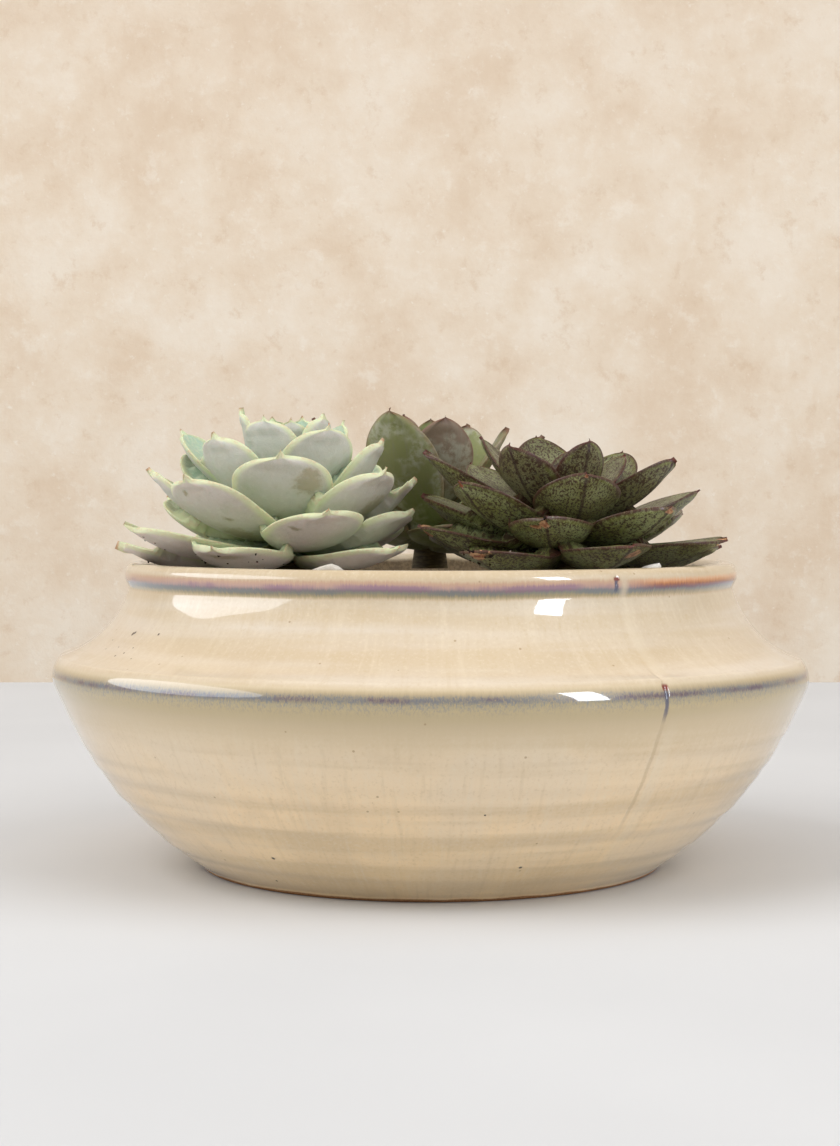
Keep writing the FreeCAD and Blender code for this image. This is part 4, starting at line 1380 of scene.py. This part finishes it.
def plug_radius(height):
    """Radius of a root ball, which narrows below its shoulder."""
    return np.interp(height, (PLUG_BOTTOM, PLUG_SHOULDER), (PLUG_LOW_RADIUS, PLUG_RADIUS))


def make_plug(plant, soil, root_material, stone_material):
    """Root ball: crumbly soil held by roots, with stones and the stem on top."""
    chance = np.random.default_rng(PLANTS.index(plant) + PLUG_SEED)
    x, y = STEM_PLACES[plant]
    top = min(PLUG_TOP, stone_ceiling(y) - STONES_DEPTH)
    below = np.linspace(PLUG_BOTTOM, PLUG_SHOULDER, 8)
    heights = np.concatenate([below, np.linspace(PLUG_SHOULDER, top, 52)[1:]])
    azimuth = np.linspace(0, 2 * math.pi, PLUG_COLUMNS + 1)[:-1]
    rough = lumpy(azimuth[None, :], heights[:, None], chance.uniform(0, 6))
    rough = rough + chance.normal(0, 0.16, (len(heights), PLUG_COLUMNS))
    out = plug_radius(heights)[:, None] - 0.9 * np.clip(rough, 0.0, 1.2)
    full = np.ones(PLUG_COLUMNS)
    rings = [(share * PLUG_LOW_RADIUS * full, PLUG_BOTTOM * full) for share in (0.02, 0.33, 0.66)]
    rings += [(out[k], heights[k] * full) for k in range(len(heights))]
    for share in (0.8, 0.55, 0.3, 0.02):
        rings.append((share * PLUG_RADIUS * full, top - 0.5 * lumpy(azimuth, 40 * share, 1.0)))
    points = [
        np.stack([x + radius * np.sin(azimuth), y - radius * np.cos(azimuth), height], -1)
        for radius, height in rings
    ]
    ball = add_mesh(plant + "_root_ball", np.concatenate(points), grid_faces(len(rings), PLUG_COLUMNS))
    ride_as(ball, soil, plant + "_plant", "soil", plant + "_root_plug")
    make_roots(plant, top, chance, root_material)
    make_plug_stones(plant, chance, stone_material)


def tube(path, radius):
    """Rings of points along a path; radius may change along it."""
    ahead = np.gradient(path, axis=0)
    ahead /= np.linalg.norm(ahead, axis=1)[:, None]
    side = np.cross(ahead, ANY_SIDE)
    side /= np.linalg.norm(side, axis=1)[:, None]
    other = np.cross(ahead, side)
    angle = (2 * math.pi * np.arange(ROOT_SIDES) / ROOT_SIDES)[None, :, None]
    circle = side[:, None, :] * np.cos(angle) + other[:, None, :] * np.sin(angle)
    return path[:, None, :] + circle * np.asarray(radius)[:, None, None]


def make_roots(plant, top, chance, material):
    """Fine roots that wander over the root ball, thick ones from above, hair between."""
    x, y = STEM_PLACES[plant]
    points, faces = [], []
    first = 0
    for number in range(ROOT_COUNT):
        thick = chance.uniform(0.22, 0.38) if number < THICK_ROOTS else chance.uniform(0.09, 0.17)
        count = int(chance.uniform(22, 60))
        turn = chance.uniform(0, 2 * math.pi) + np.cumsum(chance.normal(0, 0.035, count))
        turn = turn + np.linspace(0, chance.normal(0, 0.9), count)
        start = chance.uniform(PLUG_SHOULDER + 4, top - 1)
        fall = np.cumsum(chance.uniform(-0.3, 1.5, count))
        height = np.clip(start - fall, PLUG_BOTTOM + 0.6, top - 1.0)
        radius = plug_radius(height) - 0.45 + 0.25 * np.sin(np.linspace(0, chance.uniform(5, 15), count))
        path = np.stack([x + radius * np.sin(turn), y - radius * np.cos(turn), height], -1)
        rings = tube(path, thick * np.linspace(1.0, 0.45, count))
        points.append(rings.reshape(-1, 3))
        faces += grid_faces(count, ROOT_SIDES, first=first)
        faces.append(tuple(range(first, first + ROOT_SIDES))[::-1])
        first += ROOT_SIDES * count
        faces.append(tuple(range(first - ROOT_SIDES, first)))
    thing = add_mesh(plant + "_roots", np.concatenate(points), faces)
    ride_as(thing, material, plant + "_plant", "stem")


def make_plug_stones(plant, chance, material):
    """White stones on top of the root ball, round the stem."""
    x, y = STEM_PLACES[plant]
    heap = Heap(*STONE_CUT, chance)
    spots = []
    for attempt in range(PLUG_STONE_TRIES):
        radius = mix(3.3, 1.3, (attempt / PLUG_STONE_TRIES) ** 0.6)
        out, a, b = random_place(chance, PLUG_RADIUS - radius)
        if out < STEM_RADIUS + radius or not apart(a, b, radius, spots, PLUG_STONE_PACKING):
            continue
        spots.append((a, b, radius))
        grain = heap.shape(radius)
        heap.put(grain, x + a, y + b, stone_level(x + a, y + b) + chance.uniform(-1.4, -0.1))
    ride_as(heap.object(plant + "_plug_stones"), material, plant + "_plant", "white_gravel")


def make_crumbs(plant, leaves, material):
    """Specks of potting soil caught on the outer leaves."""
    chance = np.random.default_rng(PLANTS.index(plant) + CRUMB_SEED)
    heap = Heap(*CRUMB_CUT, chance)
    for index, low, high, side_low, side_high, count in CRUMBS[plant]:
        points, values, _ = leaves[index]
        along = values["along"].ravel()
        across = np.cos(2 * math.pi * (np.arange(len(points)) % AROUND_COUNT) / AROUND_COUNT)
        fits = (along > low) & (along < high) & (across > side_low) & (across < side_high)
        for number in chance.choice(np.flatnonzero(fits), count):
            radius = chance.uniform(0.22, 0.7) ** 1.3
            heap.put(heap.shape(radius, 0.95) + points[number])
    ride_as(heap.object(plant + "_soil_crumbs"), material, plant + "_plant", "soil")


def gravel_paint():
    paint = Paint("white_gravel", Specular_IOR_Level=0.4)
    grain = paint.noise(1.3, 5.0, 0.65)
    fine = paint.noise(5.0, 2.0)
    colour = paint.ramp(
        paint.vertex("tone"),
        (0.0, 176, 164, 148), (0.3, 214, 207, 196), (0.75, 234, 231, 225), (1.0, 190, 172, 148),
    )
    colour = paint.coats(
        colour,
        (grain, 0.56, 0.72, 0.5, (188, 180, 168)),
        (grain, 0.42, 0.3, 0.35, (250, 249, 246)),
    )
    relief = paint.relief((grain, 0.35), (fine, 0.08))
    return paint.finish(colour, paint.range(fine, 0.3, 0.7, 0.55, 0.8), relief)


def bed_paint():
    paint = Paint("gravel_bed")
    pebbles = paint.cells(0.42)
    tone = paint.noise(0.42)
    colour = paint.mix(paint.range(tone, 0.35, 0.65), rgb(150, 142, 130), rgb(206, 200, 190))
    colour = paint.coats(colour, (pebbles, 0.45, 0.85, 1.0, (78, 66, 54)))
    return paint.finish(colour, 0.85, paint.relief((pebbles, -1.2)))


def soil_paint(name, light, dark):
    paint = Paint(name, Specular_IOR_Level=0.25)
    clod = paint.noise(0.35, 5.0, 0.7)
    grain = paint.noise(2.4, 4.0, 0.7)
    colour = paint.coats(
        paint.mix(paint.range(grain, 0.35, 0.66), dark, light),
        (clod, 0.5, 0.68, 0.6, (92, 72, 54)),
        (paint.cells(0.5), 0.16, 0.1, 0.8, (186, 176, 160)),
    )
    return paint.finish(colour, 0.92, paint.relief((clod, 1.2), (grain, 0.4)))


def grit_paint():
    paint = Paint("drainage_grit")
    cells = paint.cells(0.28)
    grey = paint.parts(paint.cells(0.28, output="Color"))[0]
    colour = paint.mix(grey, rgb(112, 62, 42), rgb(150, 100, 74))
    colour = paint.coats(colour, (cells, 0.4, 0.8, 1.0, (52, 34, 26)))
    return paint.finish(colour, 0.9, paint.relief((cells, -1.5)))


def mesh_paint():
    paint = Paint("black_mesh", Specular_IOR_Level=0.4)
    grain = paint.noise(1.5)
    colour = paint.mix(paint.range(grain, 0.35, 0.65), rgb(30, 30, 31), rgb(48, 48, 48))
    return paint.finish(colour, paint.range(grain, 0.3, 0.7, 0.5, 0.7), paint.relief((grain, 0.05)))


def wire_paint():
    paint = Paint("aluminium_wire", Metallic=1.0)
    draw = paint.noise(2.5, at=paint.stretch(0.1, 1.0, 1.0))
    colour = paint.mix(paint.range(draw, 0.35, 0.65), rgb(122, 88, 66), rgb(156, 120, 92))
    return paint.finish(colour, paint.range(draw, 0.3, 0.7, 0.32, 0.5), paint.relief((draw, 0.03)))


def stem_paint():
    paint = Paint("stem_bark", Specular_IOR_Level=0.3)
    rings = paint.noise(0.9, 4.0, 0.6, at=paint.stretch(0.2, 0.2, 1.0))
    grain = paint.noise(1.4, 4.0, 0.6)
    colour = paint.mix(paint.range(rings, 0.4, 0.62), rgb(84, 72, 48), rgb(112, 100, 68))
    colour = paint.coats(colour, (grain, 0.55, 0.7, 0.6, (92, 70, 46)))
    return paint.finish(colour, 0.75, paint.relief((rings, 0.6)))


def root_paint():
    paint = Paint("root_skin", Specular_IOR_Level=0.3)
    grain = paint.noise(1.1, 4.0, 0.6)
    colour = paint.ramp(grain, (0.35, 92, 70, 48), (0.52, 132, 108, 80), (0.66, 160, 140, 110))
    return paint.finish(colour, 0.8, paint.relief((grain, 0.1)))


# ---------------------------------------------------------------- the assembly


def dress_cad_nodes():
    """Materials of the CAD pieces that are shown as they are."""
    nodes = frame["nodes"]
    wear(nodes["soil_bed"], soil_paint("potting_soil", rgb(70, 52, 38), rgb(34, 26, 20)))
    wear(nodes["drainage_layer"], grit_paint())
    wear(nodes["drain_screen"], mesh_paint())
    wear(nodes["screen_wire"], wire_paint())
    bark = stem_paint()
    for plant in PLANTS:
        wear(nodes[plant + "_stem"], bark)


def make_plants():
    """Rosettes and their root balls; returns every leaf point, for what lies near them."""
    leaf_paints = {"pale": pale_paint(), "speckled": speckled_paint(), "bronze": bronze_paint()}
    stones = gravel_paint()
    soil = soil_paint("root_ball_soil", rgb(74, 56, 42), rgb(36, 27, 21))
    crumb = soil_paint("soil_crumb", rgb(56, 40, 28), rgb(22, 17, 13))
    roots = root_paint()
    everything = []
    for plant in PLANTS:
        leaves = grow_rosette(plant)
        make_leaf_rows(plant, leaves, leaf_paints[plant])
        make_crumbs(plant, leaves, crumb)
        make_plug(plant, soil, roots, stones)
        everything += [leaf[0] for leaf in leaves]
    spots = np.concatenate(everything)
    tree = KDTree(len(spots))
    for number, spot in enumerate(spots):
        tree.insert(spot, number)
    tree.balance()
    return tree, stones


make_camera()
make_stage()
make_lights()
make_bowl()
dress_cad_nodes()
leaf_spots, stone_material = make_plants()
make_gravel(leaf_spots, stone_material)
make_gravel_bed(bed_paint())
